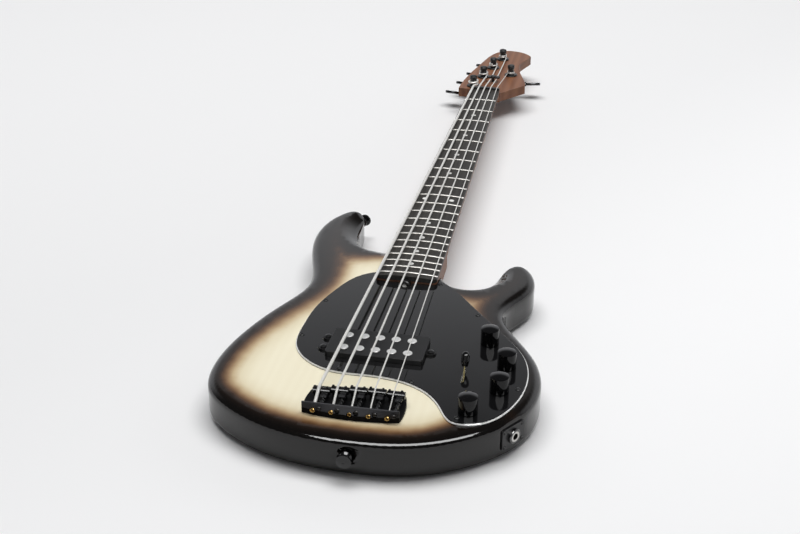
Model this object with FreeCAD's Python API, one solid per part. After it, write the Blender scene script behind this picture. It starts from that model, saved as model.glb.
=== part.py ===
import FreeCAD, Part
import math
import os

V = FreeCAD.Vector

# Frame: X to the treble side, Y from the tail to the headstock, Z out of the face.
# The origin lies on the centre line, on the back of the body, below the end of the scale.

# Scale, neck and board
scale_length = 863.6
fret_count = 22
nut_width = 44.5
last_fret_width = 69.0
board_overhang = 9.0
board_thickness = 6.0
board_radius = 279.4
board_corner = 6.0
heel_thickness = 21.0
heel_length = 82.0
heel_sweep = 23.0
neck_depth_nut = 15.5
neck_depth_heel = 18.0
neck_roundness = 2.3
heel_squareness = 7.0
section_points = 12
fret_width = 2.2
fret_height = 1.1
tang_width = 0.6
tang_depth = 1.8
dot_radius = 3.2
dot_depth = 1.6
dot_frets = (3, 5, 7, 9, 15, 17, 19, 21)
octave_fret = 12
octave_dot_offset = 16.8
nut_thickness = 4.8
nut_action = 1.7
nut_cover = 0.8
nut_break = 0.5

# Body
body_thickness = 41.3
edge_radius = 9.0
pocket_depth = 16.3
pocket_clearance = 0.15
guard_thickness = 2.5
guard_bevel = 1.2
body_outline = (
    (40, 257), (64, 241.5), (88, 250), (98, 276), (103.5, 296), (111.5, 307), (122, 308),
    (131.5, 299), (138.5, 281), (138, 254), (127, 229), (116, 196), (132, 152.5), (160, 102),
    (168, 62), (158, 12), (121, -32), (66.5, -62), (4, -69), (-60, -61), (-115, -36.5),
    (-149, -2.5), (-157.5, 45), (-148, 104), (-126, 166), (-108.5, 217), (-116, 268), (-131, 330),
    (-125.5, 386), (-115, 406.5), (-104.5, 416.5), (-93.5, 416), (-86.5, 406), (-84, 388), (-80, 350),
    (-62, 318), (-38, 316), (0, 297),
)
guard_outline = (
    (-38, 253), (-56, 239), (-73, 204), (-84, 165), (-87.5, 120), (-83.5, 80), (-66, 55), (-38, 40),
    (7, 38), (51, 26), (78, -3), (94, -26), (116, -25), (144, 6), (155, 53), (148, 99), (123, 140),
    (84, 192), (45, 240), (8, 262),
)
horn_scoops = (
    (-29.5, 376.0, 75.0, 30.0),
    (69.0, 284.0, 44.0, 22.0),
)

# Strings, from the bass side to the treble side
string_gauges = (3.3, 2.54, 2.03, 1.65, 1.14)
bridge_spacing = 17.7
nut_spacing = 9.0
saddle_setback = (9.2, 7.8, 6.0, 4.2, 2.4)
string_height = 15.2
string_clearance = 0.12
bend_radius = 6.0
wrap_turns = (1.25, 1.5, 1.75, 2.25, 2.25)
wrap_gap = 0.45
wrap_clearance = 0.3
wrap_lead = 5.0
string_lead = 2.5
tree_strings = (2, 3)

# Bridge
plate_thickness = 3.0
plate_front = 10.0
plate_half_front = 44.0
plate_half_middle = 48.5
plate_half_rear = 46.5
plate_middle = -13.0
wall_inner = -32.5
wall_end = -33.8
wall_middle = -38.8
wall_base = 5.7
wall_height = 12.0
wall_rim = 1.2
string_hole_height = 5.2
ball_radius = 2.6
ball_length = 3.5
ball_seat = 1.5
saddle_radius = 3.6
saddle_left = 6.4
saddle_width = 17.1
saddle_groove = 0.6
saddle_bevel = 0.4
saddle_boss = 2.9
saddle_web = 0.5
saddle_floor = 0.7
height_screw_radius = 1.2
height_screw_left = 4.4
height_screw_right = 7.6
screw_stand = 1.2
socket_radius = 0.66
socket_depth = 1.2
socket_sides = 6
intonation_radius = 1.5
intonation_height = 7.5
intonation_reach = 4.6
intonation_travel = 4.0
intonation_head = 2.3
intonation_head_length = 2.4
intonation_bevel = 0.3
intonation_slot = 0.8
intonation_seat = 1.5
intonation_offset = 6.0
intonation_spring_radius = 2.4
bridge_screw_radius = 2.0
bridge_screw_tip = 14.0
bridge_screw_point = 3.0
bridge_screw_y = -27.5
bridge_head_depth = 1.8
bridge_screw_head = 3.6
spring_wire = 0.7
spring_turns = 3

# Pickup
pickup_y = 88.6
pickup_width = 99.4
pickup_depth = 48.4
pickup_rise = 5.6
pickup_corner = 3.0
pickup_shell = 1.6
pickup_case = 15.6
pickup_edge = 0.6
route_depth = 20.0
pole_spacing = 16.4
pole_rows = 24.1
pole_radius = 4.75
pole_proud = 0.6
pole_length = 15.0
ear_radius = 5.2
ear_reach = 4.4
ear_thickness = 2.4
ear_drop = 3.6
ear_spread = 20.4
ear_screw_radius = 1.4
ear_screw_length = 30.0
ear_head_radius = 3.4
ear_head_height = 2.5
ear_spring_radius = 2.6
coil_thickness = 4.0
coil_height = 10.0
ear_hole_clear = 5.0
pickup_gap = 0.6
ear_spring_turns = 4

# Controls
knob_places = ((109.0, 122.6), (131.6, 80.5), (130.1, 35.1), (106.0, -5.8))
knob_radius = 9.4
knob_height = 18.0
knob_gap = 0.5
knob_recess = 3.5
knob_recess_radius = 7.2
knob_shoulder = 3.0
knob_ring = 1.6
knob_dome = 1.5
shaft_radius = 3.0
pot_radius = 8.5
pot_height = 9.0
pot_bush_radius = 4.7
pot_nut_radius = 6.3
pot_nut_height = 2.0
shaft_reach = 5.0
cavity_depth = 33.0
cavity_radius = 17.0
switch_x = 92.6
switch_y = 53.5
switch_pivot_drop = 7.0
lever_length = 18.0
lever_pin = 1.2
lever_hub = 3.0
switch_length = 42.0
switch_width = 12.0
switch_cheek = 2.0
switch_gap = 0.4
lever_rest_tilt = 26.0
lever_width = 3.0
lever_thickness = 1.4
lever_tip_radius = 4.1
lever_tip_length = 15.0
switch_slot_length = 24.0
switch_slot_width = 3.0
preamp_place = (128.0, 58.0)
preamp_size = (12.0, 17.0)
preamp_stand = 3.0
preamp_thickness = 1.6
preamp_post = 1.6
preamp_chip = (10.0, 8.0, 3.5)
preamp_cans = (2.4, 7.0, 7.0)

# Output jack, on a flat cut in the side wall
jack_x = 147.9
jack_y = -2.0
jack_turn = -34.5
jack_plate_width = 31.0
jack_plate_height = 23.0
jack_plate_thickness = 1.8
jack_corner = 3.0
jack_bore_radius = 3.25
jack_barrel_radius = 5.6
jack_depth = 24.0
jack_nut_radius = 7.6
jack_can_radius = 8.5
jack_clear_radius = 9.2
jack_nut_thickness = 2.6
jack_nut_bevel = 0.6
jack_end = 1.5
jack_well = 6.0

# Headstock and tuners
head_drop = 4.0
head_thickness = 13.5
head_ramp = 17.0
head_root = 10.0
head_reach = 90.0
head_corner_bass = (-44.5, 26.0)
root_bass_flare = ((1.2, 5.5), (6.0, 14.5))
root_treble_flare = ((0.5, 3.0), (2.5, 6.5))
head_corner_treble = (56.0, 57.0)
bass_edge = ((-42.5, 58), (-34, 116), (-24, 165), (-12.5, 206.5), (5, 226.5), (22, 226.5), (41, 215.5))
beak_tip = (49.5, 203.0)
treble_edge = ((43, 183), (36, 157), (37.5, 134), (46, 100), (53, 75))
bass_post_first = (-23.6, 39.5)
bass_post_step = (9.6, 46.6)
treble_post = (28.0, 102.0)
bass_key_turn = 169.8
treble_key_turn = 12.5
gear_teeth = 21
gear_module = 1.0
gear_width = 5.0
worm_pitch_radius = 3.5
worm_length = 11.0
tooth_thickness = 1.2
tooth_slope = 0.36
tooth_reach = 0.85
tooth_root = 1.2
tuner_plate_thickness = 1.6
worm_drop = 6.6
worm_overhang = 4.5
gear_hand = 1
gear_phase = -0.5
plate_half = 12.0
plate_corner = 3.0
ear_half = 4.2
ear_gap = 0.4
ear_plate = 2.0
post_radius = 4.6
post_stem_radius = 4.0
spool_height = 9.8
cap_radius = 5.6
cap_height = 5.2
cap_round = 2.0
cap_bulge = 0.6
post_slot = 1.8
post_slot_depth = 4.0
washer_radius = 10.0
washer_height = 2.2
washer_round = 1.0
washer_bulge = 0.2
bushing_radius = 6.8
running_gap = 0.06
key_length = 50.0
key_shaft_radius = 2.2
key_collar_radius = 3.4
key_collar_length = 4.0
paddle_length = 24.0
paddle_width = 22.0
paddle_thickness = 4.4
paddle_tilt = 70.0
tree_y = 66.0
tree_x = 4.4
tree_length = 21.0
tree_width = 6.0
tree_thickness = 3.0
tree_boss = 4.2
tree_boss_rise = 0.9
tree_sleeve = 2.0
tree_screw = 1.4
tree_depth = 9.0
tree_rise = 5.0

# Truss rod, bolts, strap buttons and battery
rod_radius = 2.6
rod_drop = 3.2
wheel_radius = 6.5
wheel_length = 6.0
wheel_bevel = 0.8
wheel_hole = 1.0
wheel_holes = 6
wheel_well = 6.5
rod_stop = 20.0
wheel_slot_gap = 1.0
neck_bolts = ((-23.0, 14.0), (21.0, 14.0), (-25.0, 56.0), (-2.0, 38.0), (-25.0, 35.0))
bolt_radius = 2.5
bolt_head_radius = 4.4
ferrule_radius = 7.0
ferrule_depth = 5.0
ferrule_floor = 1.5
ferrule_inset = 0.4
bolt_head_height = 3.5
bolt_bevel = 0.5
bolt_reach = 8.0
strap_radius = 7.2
strap_height = 11.0
strap_z = 23.0
strap_screw = 2.2
strap_dome = 1.2
strap_waist = 4.0
strap_foot = 5.8
strap_foot_height = 1.5
strap_flange = 3.0
strap_screw_length = 20.0
strap_places = ((4.0, -69.0, -90.0), (-92.0, 418.0, 74.0))
battery_x = -92.0
battery_y = 40.0
battery_length = 48.5
battery_width = 26.5
battery_height = 17.5
battery_wall = 1.6
battery_gap = 0.5
battery_round = 2.0
stud_height = 3.0
battery_studs = ((-6.3, 2.8), (6.3, 3.6))
lid_thickness = 2.0
lid_hinge_radius = 1.6
lid_inset = 0.4
lid_pin = 0.5
lid_pin_length = 3.0
lid_grip = 6.0
screw_gap = 0.1
seat_gap = 0.05

# Levels and places that follow from the sizes above
body_top = body_thickness
guard_top = body_top + guard_thickness
pocket_floor = body_top - pocket_depth
neck_top = pocket_floor + heel_thickness
board_top = neck_top + board_thickness
head_top = neck_top - head_drop
head_back = head_top - head_thickness
last_fret_y = scale_length * 2 ** (-fret_count / 12)
heel_end = last_fret_y - board_overhang
plate_top = body_top + plate_thickness
string_count = len(string_gauges)
worm_z = head_back - worm_drop
gear_pitch_radius = gear_module * gear_teeth / 2
worm_pitch = math.pi * gear_module
tuner_center = gear_pitch_radius + worm_pitch_radius
washer_top = head_top + washer_height
pickup_top = guard_top + pickup_rise
rod_z = neck_top - rod_drop
ear_top = pickup_top - ear_drop
ear_hole_floor = ear_top - ear_screw_length - ear_hole_clear
tree_z = head_top + tree_rise
bolt_top = neck_top - bolt_reach
intonation_z = body_top + intonation_height
saddle_front = height_screw_radius + saddle_web
saddle_tail = saddle_front + intonation_reach + intonation_travel + wrap_clearance + saddle_floor


def ring(points):
    corners = [V(*p) for p in points]
    return Part.Wire(Part.makePolygon(corners + corners[:1]))


def prism(points, z0, z1):
    face = Part.Face(ring([(x, y, z0) for x, y in points]))
    return face.extrude(V(0, 0, z1 - z0))


def box(x0, x1, y0, y1, z0, z1):
    return Part.makeBox(x1 - x0, y1 - y0, z1 - z0, V(x0, y0, z0))


def rod(radius, start, end):
    start = V(*start)
    axis = V(*end) - start
    return Part.makeCylinder(radius, axis.Length, start, axis)


def smooth_plate(points, z0, z1):
    curve = Part.BSplineCurve()
    curve.interpolate(Points=[V(x, y, z0) for x, y in points], PeriodicFlag=True)
    return Part.Face(Part.Wire(curve.toShape())).extrude(V(0, 0, z1 - z0))


def rounded_box(x0, x1, y0, y1, z0, z1, corner):
    solid = box(x0, x1, y0, y1, z0, z1)
    upright = [e for e in solid.Edges if e.BoundBox.ZLength > (z1 - z0) / 2]
    return solid.makeFillet(corner, upright)


def dome(radius, height):
    # Bulge of the arc that closes a round top, with its centre on the axis
    chord = radius ** 2 + height ** 2
    ball = chord / (2 * height)
    return ball - math.sqrt(ball ** 2 - chord / 4)


def turned(profile, place, axis=V(0, 0, 1)):
    # Each point is (radius, height), with the bulge of the run that follows it as a third value
    corners = [V(p[0], 0, p[1]) for p in profile]
    runs = []
    for point, start, end in zip(profile, corners, corners[1:] + corners[:1]):
        if len(point) > 2:
            across = V(0, 1, 0).cross(end - start).normalize()
            runs.append(Part.Arc(start, (start + end) * 0.5 + across * point[2], end))
        else:
            runs.append(Part.LineSegment(start, end))
    solid = Part.Face(Part.Wire([r.toShape() for r in runs])).revolve(V(0, 0, 0), V(0, 0, 1), 360)
    solid.Placement = FreeCAD.Placement(V(*place), FreeCAD.Rotation(V(0, 0, 1), axis))
    return solid


def join(solids):
    return solids[0].multiFuse(solids[1:]).removeSplitter() if len(solids) > 1 else solids[0]


def edges_at(solid, z):
    flat = [e for e in solid.Edges if e.BoundBox.ZLength < 1e-4]
    return [e for e in flat if abs(e.BoundBox.ZMin - z) < 1e-4]


def neck_half(y):
    taper = (last_fret_width - nut_width) / (scale_length - last_fret_y)
    return (nut_width + taper * (scale_length - y)) / 2


def neck_plan(y0, y1, grow, z0, z1):
    # Taper of the neck from a rounded end at y0
    a = neck_half(y0) + grow
    b = neck_half(y1) + grow
    solid = prism([(-a, y0), (a, y0), (b, y1), (-b, y1)], z0, z1)
    upright = [e for e in solid.Edges if e.BoundBox.YMax < y0 + 1e-4 and e.BoundBox.ZLength > (z1 - z0) / 2]
    return solid.makeFillet(board_corner + grow, upright)


def camber(x):
    return board_radius - math.sqrt(board_radius ** 2 - x ** 2)


def string_x(index, spacing):
    return (index - (string_count - 1) / 2) * spacing


def arc(start, tangent, end):
    # The circle that leaves start along tangent and reaches end
    chord = end - start
    across = chord - tangent * chord.dot(tangent)
    if across.Length < 1e-7:
        return Part.LineSegment(start, end)
    across.normalize()
    radius = chord.dot(chord) / (2 * chord.dot(across))
    centre = start + across * radius
    middle = (start + end) * 0.5 - centre
    if middle.Length < 1e-7:
        middle = V(tangent)
    middle.normalize()
    if chord.dot(tangent) < 0:
        middle = middle * -1
    return Part.Arc(start, centre + middle * radius, end)


def biarc(p0, t0, p1, t1):
    # Two arcs that meet halfway and share one tangent there
    v = p1 - p0
    t = t0 + t1
    k = 2 * (1 - t0.dot(t1))
    if k < 1e-9:
        d = v.dot(v) / (4 * v.dot(t1))
    else:
        d = (-v.dot(t) + math.sqrt(v.dot(t) ** 2 + k * v.dot(v))) / k
    q0 = p0 + t0 * d
    q1 = p1 - t1 * d
    middle = (q0 + q1) * 0.5
    back = arc(p1, t1 * -1, middle)
    back.reverse()
    return [arc(p0, t0, middle), back]


def bend(points, radius):
    # Straight runs through points, with an arc of one radius at each inner corner
    runs = []
    start = points[0]
    for before, corner, after in zip(points, points[1:], points[2:]):
        inward = (corner - before).normalize()
        outward = (after - corner).normalize()
        turn = inward.getAngle(outward)
        reach = radius * math.tan(turn / 2)
        entry = corner - inward * reach
        leave = corner + outward * reach
        runs.append(Part.LineSegment(start, entry))
        runs.append(arc(entry, inward, leave))
        start = leave
    runs.append(Part.LineSegment(start, points[-1]))
    return runs


def tube(curves, diameter):
    path = Part.Wire([c.toShape() for c in curves])
    first = path.OrderedEdges[0]
    start = first.valueAt(first.FirstParameter)
    heading = first.tangentAt(first.FirstParameter)
    section = Part.Wire(Part.Circle(start, heading, diameter / 2).toShape())
    return path.makePipeShell([section], True, False)


def helix_point(centre, radius, angle, z, climb, hand):
    place = V(centre[0] + radius * math.cos(angle), centre[1] + radius * math.sin(angle), z)
    along = V(-math.sin(angle) * hand, math.cos(angle) * hand, climb / (2 * math.pi * radius))
    return place, along.normalize()


def helix_arcs(centre, radius, angle, z, climb, quarters, hand):
    curves = []
    p0, t0 = helix_point(centre, radius, angle, z, climb, hand)
    for k in range(1, quarters + 1):
        turn = angle + hand * k * math.pi / 2
        p1, t1 = helix_point(centre, radius, turn, z + climb * k / 4, climb, hand)
        curves += biarc(p0, t0, p1, t1)
        p0, t0 = p1, t1
    return curves, p0, t0


def coil_spring(radius, turns, wire, length):
    # Closed helix along Z between two flat seats, its ends turned straight onto them
    climb = (length - 2 * wire) / (turns + 0.5)
    up = V(0, 0, 1)
    foot = V(radius, 0, 0)
    lead = V(radius, 0, wire)
    first, heading = helix_point((0, 0), radius, math.pi / 2, wire + climb / 4, climb, 1)
    body, last, leaving = helix_arcs((0, 0), radius, math.pi / 2, first.z, climb, 4 * turns, 1)
    end = V(-radius, 0, length - wire)
    head = V(-radius, 0, length)
    curves = [Part.LineSegment(foot, lead)] + biarc(lead, up, first, heading) + body
    curves += biarc(last, leaving, end, up) + [Part.LineSegment(end, head)]
    return tube(curves, wire), climb - wire


def place_solid(solid, place, turn_axis, angle):
    copy = solid.copy()
    copy.Placement = FreeCAD.Placement(V(*place), FreeCAD.Rotation(V(*turn_axis), angle))
    return copy


def export(name, *solids):
    shape = solids[0] if len(solids) == 1 else Part.makeCompound(list(solids))
    shape.exportStep("parts/" + name + ".step")


# Tuner frames: post centre, outward key direction and the direction from post to worm
def tuner_frames():
    frames = []
    for k in range(string_count - 1):
        x = bass_post_first[0] + k * bass_post_step[0]
        y = scale_length + bass_post_first[1] + k * bass_post_step[1]
        frames.append((x, y, bass_key_turn, -1))
    frames.append((treble_post[0], scale_length + treble_post[1], treble_key_turn, 1))
    return frames


def to_tuner(solid, frame):
    # Local tuner frame: post on Z, key along +X, worm offset along +Y for a treble-side tuner
    x, y, turn, side = frame
    solid = solid.copy()
    if side < 0:
        solid = solid.mirror(V(0, 0, 0), V(0, 1, 0))
    move = FreeCAD.Placement(V(x, y, 0), FreeCAD.Rotation(V(0, 0, 1), turn))
    solid.Placement = move.multiply(solid.Placement)
    return solid


def neck_section(y, half, depth, power):
    # Flat top and a superellipse below it
    points = []
    for k in range(section_points + 1):
        angle = math.pi * k / section_points
        c = math.cos(angle)
        s = math.sin(angle)
        x = half * math.copysign(abs(c) ** (2 / power), c)
        points.append(V(x, y, neck_top - depth * abs(s) ** (2 / power)))
    curve = Part.BSplineCurve()
    curve.interpolate(Points=points)
    return Part.Wire([curve.toShape(), Part.LineSegment(points[-1], points[0]).toShape()])


def head_point(place):
    return V(place[0], scale_length + place[1], head_back)


def spline(points):
    curve = Part.BSplineCurve()
    curve.interpolate(Points=points)
    return curve


def face_of(curves):
    return Part.Face(Part.Wire([c.toShape() for c in curves]))


def head_slab():
    # Plan of the headstock, from its root behind the nut
    half = neck_half(scale_length)
    root_bass = head_point((-half, head_root))
    root_treble = head_point((half, head_root))
    corner_bass = head_point(head_corner_bass)
    corner_treble = head_point(head_corner_treble)
    beak = head_point(beak_tip)
    turn_bass, leave_bass = [head_point((-half - x, head_root + y)) for x, y in root_bass_flare]
    turn_treble, leave_treble = [head_point((half + x, head_root + y)) for x, y in root_treble_flare]
    curves = [
        Part.Arc(root_bass, turn_bass, leave_bass),
        Part.LineSegment(leave_bass, corner_bass),
        spline([corner_bass] + [head_point(p) for p in bass_edge] + [beak]),
        spline([beak] + [head_point(p) for p in treble_edge] + [corner_treble]),
        Part.LineSegment(corner_treble, leave_treble),
        Part.Arc(leave_treble, turn_treble, root_treble),
        Part.LineSegment(root_treble, root_bass),
    ]
    return face_of(curves).extrude(V(0, 0, neck_top - head_back))


def make_neck():
    block_end = heel_end + heel_length
    run_end = block_end + heel_sweep
    root_end = scale_length + head_root
    head_depth = neck_top - head_back
    block = neck_plan(heel_end, block_end, 0, pocket_floor, neck_top)
    middle = block_end + heel_sweep / 2
    depth_middle = (heel_thickness + 3 * neck_depth_heel) / 4
    sweep = Part.makeLoft([
        neck_section(block_end, neck_half(block_end), heel_thickness, heel_squareness),
        neck_section(middle, neck_half(middle), depth_middle, (heel_squareness + neck_roundness) / 3),
        neck_section(run_end, neck_half(run_end), neck_depth_heel, neck_roundness),
    ], True, False)
    shaft = Part.makeLoft([
        neck_section(run_end, neck_half(run_end), neck_depth_heel, neck_roundness),
        neck_section(scale_length, neck_half(scale_length), neck_depth_nut, neck_roundness),
    ], True, True)
    throat = Part.makeLoft([
        neck_section(scale_length, neck_half(scale_length), neck_depth_nut, neck_roundness),
        neck_section(root_end, neck_half(scale_length), head_depth, heel_squareness),
    ], True, True)
    neck = join([block, sweep, shaft, throat, head_slab()])
    ledge = scale_length + nut_thickness
    crest = V(-head_reach, ledge, neck_top)
    hollow = V(-head_reach, ledge + head_ramp * 0.4, head_top + head_drop * 0.25)
    flat = V(-head_reach, ledge + head_ramp, head_top)
    far = V(-head_reach, ledge + 3 * head_reach, head_top)
    sky = V(0, 0, 2 * head_drop)
    over = [
        Part.Arc(crest, hollow, flat), Part.LineSegment(flat, far), Part.LineSegment(far, far + sky),
        Part.LineSegment(far + sky, crest + sky), Part.LineSegment(crest + sky, crest),
    ]
    neck = neck.cut(face_of(over).extrude(V(2 * head_reach, 0, 0)))
    holes = [rod(rod_radius + screw_gap, (0, heel_end - 1, rod_z), (0, scale_length - rod_stop, rod_z))]
    for x, y, turn, side in tuner_frames():
        holes.append(rod(bushing_radius + screw_gap, (x, y, head_back - 1), (x, y, head_top + 1)))
    for x, y in bolt_places():
        holes.append(rod(bolt_radius + screw_gap, (x, y, pocket_floor - 1), (x, y, bolt_top + 1)))
    tree = scale_length + tree_y
    deep = head_top - tree_depth - 1
    holes.append(rod(tree_screw + screw_gap, (tree_x, tree, deep), (tree_x, tree, neck_top)))
    return neck.cut(Part.makeCompound(holes))


def bolt_places():
    return [(x, heel_end + y) for x, y in neck_bolts]


def camber_rod(extra):
    axis_z = board_top - board_radius
    start = heel_end - heel_sweep
    return rod(board_radius + extra, (0, start, axis_z), (0, scale_length + heel_sweep, axis_z))


def fret_y(n):
    return scale_length * 2 ** (-n / 12)


def dot_places():
    places = []
    for n in dot_frets:
        places.append((0, (fret_y(n) + fret_y(n - 1)) / 2))
    middle = (fret_y(octave_fret) + fret_y(octave_fret - 1)) / 2
    places.append((-octave_dot_offset, middle))
    places.append((octave_dot_offset, middle))
    return places


def make_board():
    board = neck_plan(heel_end, scale_length, 0, neck_top, board_top + 1).common(camber_rod(0))
    cuts = []
    half = (tang_width + seat_gap) / 2
    for n in range(1, fret_count + 1):
        y = fret_y(n)
        reach = neck_half(y) + 1
        foot = board_top - camber(neck_half(y)) - tang_depth
        cuts.append(box(-reach, reach, y - half, y + half, foot, board_top + 1))
    for x, y in dot_places():
        floor = board_top - camber(x) - dot_depth
        cuts.append(rod(dot_radius + seat_gap / 2, (x, y, floor), (x, y, board_top + 1)))
    return board.cut(Part.makeCompound(cuts))


def make_dots():
    dots = []
    for x, y in dot_places():
        peg = rod(dot_radius, (x, y, board_top - camber(x) - dot_depth), (x, y, board_top + 1))
        dots.append(peg.common(camber_rod(0)))
    return dots


def make_frets():
    frets = []
    axis = V(0, 0, board_top - board_radius)
    along = V(0, 1, 0)
    z = board_top + seat_gap
    for n in range(1, fret_count + 1):
        y = fret_y(n)
        half = neck_half(y)
        swing = math.degrees(math.asin(half / board_radius))
        heel = V(0, y - fret_width / 2, z)
        toe = V(0, y + fret_width / 2, z)
        face = face_of([Part.Arc(heel, V(0, y, z + fret_height), toe), Part.LineSegment(toe, heel)])
        face.rotate(axis, along, -swing)
        bead = face.revolve(axis, along, 2 * swing)
        foot = board_top - camber(half) - tang_depth + seat_gap
        tang = box(-half, half, y - tang_width / 2, y + tang_width / 2, foot, board_top + 1)
        frets.append(join([bead, tang.common(camber_rod(fret_height / 2))]))
    return frets


def string_corners(index):
    # Ball end, tail wall, saddle crest and nut, in the order in which the string meets them
    x = string_x(index, bridge_spacing)
    crest = V(x, -saddle_setback[index], saddle_z(index))
    low = body_top + string_hole_height
    ball = V(x, wall_inner - ball_seat, low)
    leave = V(x, wall_inner + string_lead, low)
    nut = V(string_x(index, nut_spacing), scale_length + nut_thickness + nut_break, nut_z(index))
    return [ball, leave, crest, nut]


def nut_z(index):
    x = string_x(index, nut_spacing)
    return board_top - camber(x) + nut_action + string_gauges[index] / 2


def saddle_z(index):
    x = string_x(index, bridge_spacing)
    return body_top + string_height - camber(x) + string_gauges[index] / 2


def make_nut():
    half = neck_half(scale_length)
    front = scale_length + seat_gap
    back = scale_length + nut_thickness
    blank = box(-half, half, front, back, neck_top, board_top + 2 * nut_action + nut_cover)
    nut = blank.common(camber_rod(nut_action + nut_cover))
    cuts = []
    for k in range(string_count):
        ball, leave, crest, end = string_corners(k)
        heading = (end - crest).normalize()
        r = string_gauges[k] / 2 + string_clearance
        start = end - heading * (2 * nut_thickness)
        stop = end + heading * nut_thickness
        cuts.append(Part.makeCylinder(r, 3 * nut_thickness, start, heading))
        low = min(start.x, stop.x) - r
        high = max(start.x, stop.x) + r
        cuts.append(box(low, high, start.y, stop.y, end.z, end.z + 4 * nut_cover))
    return nut.cut(Part.makeCompound(cuts))


def string_route(index):
    # Curves of the whole string and the free height between two turns on its post
    gauge = string_gauges[index]
    x, y, turn, side = tuner_frames()[index]
    centre = V(x, y, 0)
    corners = string_corners(index)
    nut = corners[-1]
    radius = post_radius + wrap_clearance + gauge / 2
    hand = -side
    toward = V(nut.x - x, nut.y - y, 0)
    angle = math.atan2(toward.y, toward.x) + hand * math.acos(radius / toward.Length)
    climb = gauge + wrap_gap
    slope = climb / (2 * math.pi * radius)
    z = washer_top + wrap_clearance + gauge / 2 + wrap_lead * slope
    touch, heading = helix_point((x, y), radius, angle, z, climb, hand)
    if index in tree_strings:
        share = (scale_length + tree_y - tree_width / 2 - nut_break - nut.y) / (touch.y - nut.y)
        under = nut + (touch - nut) * share
        corners.append(V(under.x, under.y, tree_z))
    corners.append(touch - heading * wrap_lead)
    runs = bend(corners + [touch], bend_radius)
    quarters = round(4 * wrap_turns[index])
    wraps, end, leaving = helix_arcs((x, y), radius, angle, z, climb, quarters, hand)
    runs += wraps
    runs.append(Part.LineSegment(end, end + leaving * gauge))
    return runs, climb - gauge


def make_strings():
    strings = []
    for k in range(string_count):
        runs, gap = string_route(k)
        length = sum(c.length() for c in runs)
        print("string", k + 1, "length", round(length, 1), "mm, gap between turns", round(gap, 2), "mm")
        strings.append(tube(runs, string_gauges[k]))
    return strings


def make_balls():
    balls = []
    for k in range(string_count):
        ball = string_corners(k)[0]
        balls.append(rod(ball_radius, ball - V(0, ball_length, 0), ball))
    return balls


def make_tree():
    y = scale_length + tree_y
    thickest = max(string_gauges[k] for k in tree_strings)
    under = tree_z + thickest / 2 + string_clearance
    top = under + tree_thickness
    half = tree_length / 2
    bar = rounded_box(-half, half, -tree_width / 2, tree_width / 2, under, top, tree_width / 3)
    bar.translate(V(tree_x, y, 0))
    bar = bar.makeFillet(tree_thickness / 3, edges_at(bar, top))
    crown = top + tree_boss_rise
    boss = rod(tree_boss, (tree_x, y, under), (tree_x, y, crown))
    boss = boss.makeFillet(tree_thickness / 3, edges_at(boss, crown))
    sleeve = rod(tree_sleeve, (tree_x, y, head_top), (tree_x, y, under + tree_thickness / 2))
    screw = rod(tree_screw, (tree_x, y, head_top - tree_depth), (tree_x, y, head_top + 1))
    return join([bar, boss, sleeve, screw])


def scoop_cone(x, y, radius, depth):
    over = (depth + 1) / depth
    return Part.makeCone(0, radius * over, depth * over, V(x, y, body_top - depth))


def knob_chain(radius, z0, z1):
    # Round pockets at the knobs joined by straight channels
    solids = []
    for x, y in knob_places:
        solids.append(rod(radius, (x, y, z0), (x, y, z1)))
    for a, b in zip(knob_places, knob_places[1:]):
        along = V(b[0] - a[0], b[1] - a[1], 0).normalize() * radius
        side = V(-along.y, along.x, 0)
        plan = [(p[0] + s * side.x, p[1] + s * side.y) for p, s in ((a, 1), (a, -1), (b, -1), (b, 1))]
        solids.append(prism(plan, z0, z1))
    return join(solids)


def pickup_plan(grow, z0, z1):
    # Rounded case with two ears on the bass side and one on the treble side
    half_x = pickup_width / 2 + grow
    half_y = pickup_depth / 2 + grow
    case = rounded_box(-half_x, half_x, -half_y, half_y, z0, z1, pickup_corner + grow)
    case.translate(V(0, pickup_y, 0))
    return case


def ear_places():
    far = pickup_width / 2 + ear_reach
    near = ear_spread / 2
    return [(-far, pickup_y - near), (-far, pickup_y + near), (far, pickup_y)]


def ear_lobes(grow, z0, z1):
    lobes = []
    inner = pickup_width / 2 - pickup_shell
    r = ear_radius + grow
    for x, y in ear_places():
        x0, x1 = sorted((x, math.copysign(inner, x)))
        lobes.append(rod(r, (x, y, z0), (x, y, z1)).fuse(box(x0, x1, y - r, y + r, z0, z1)))
    return lobes


def jack_frame():
    return FreeCAD.Placement(V(jack_x, jack_y, body_top / 2), FreeCAD.Rotation(V(0, 0, 1), jack_turn))


def strap_frame(place):
    x, y, turn = place
    out = V(math.cos(math.radians(turn)), math.sin(math.radians(turn)), 0)
    return V(x, y, strap_z), out


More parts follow.
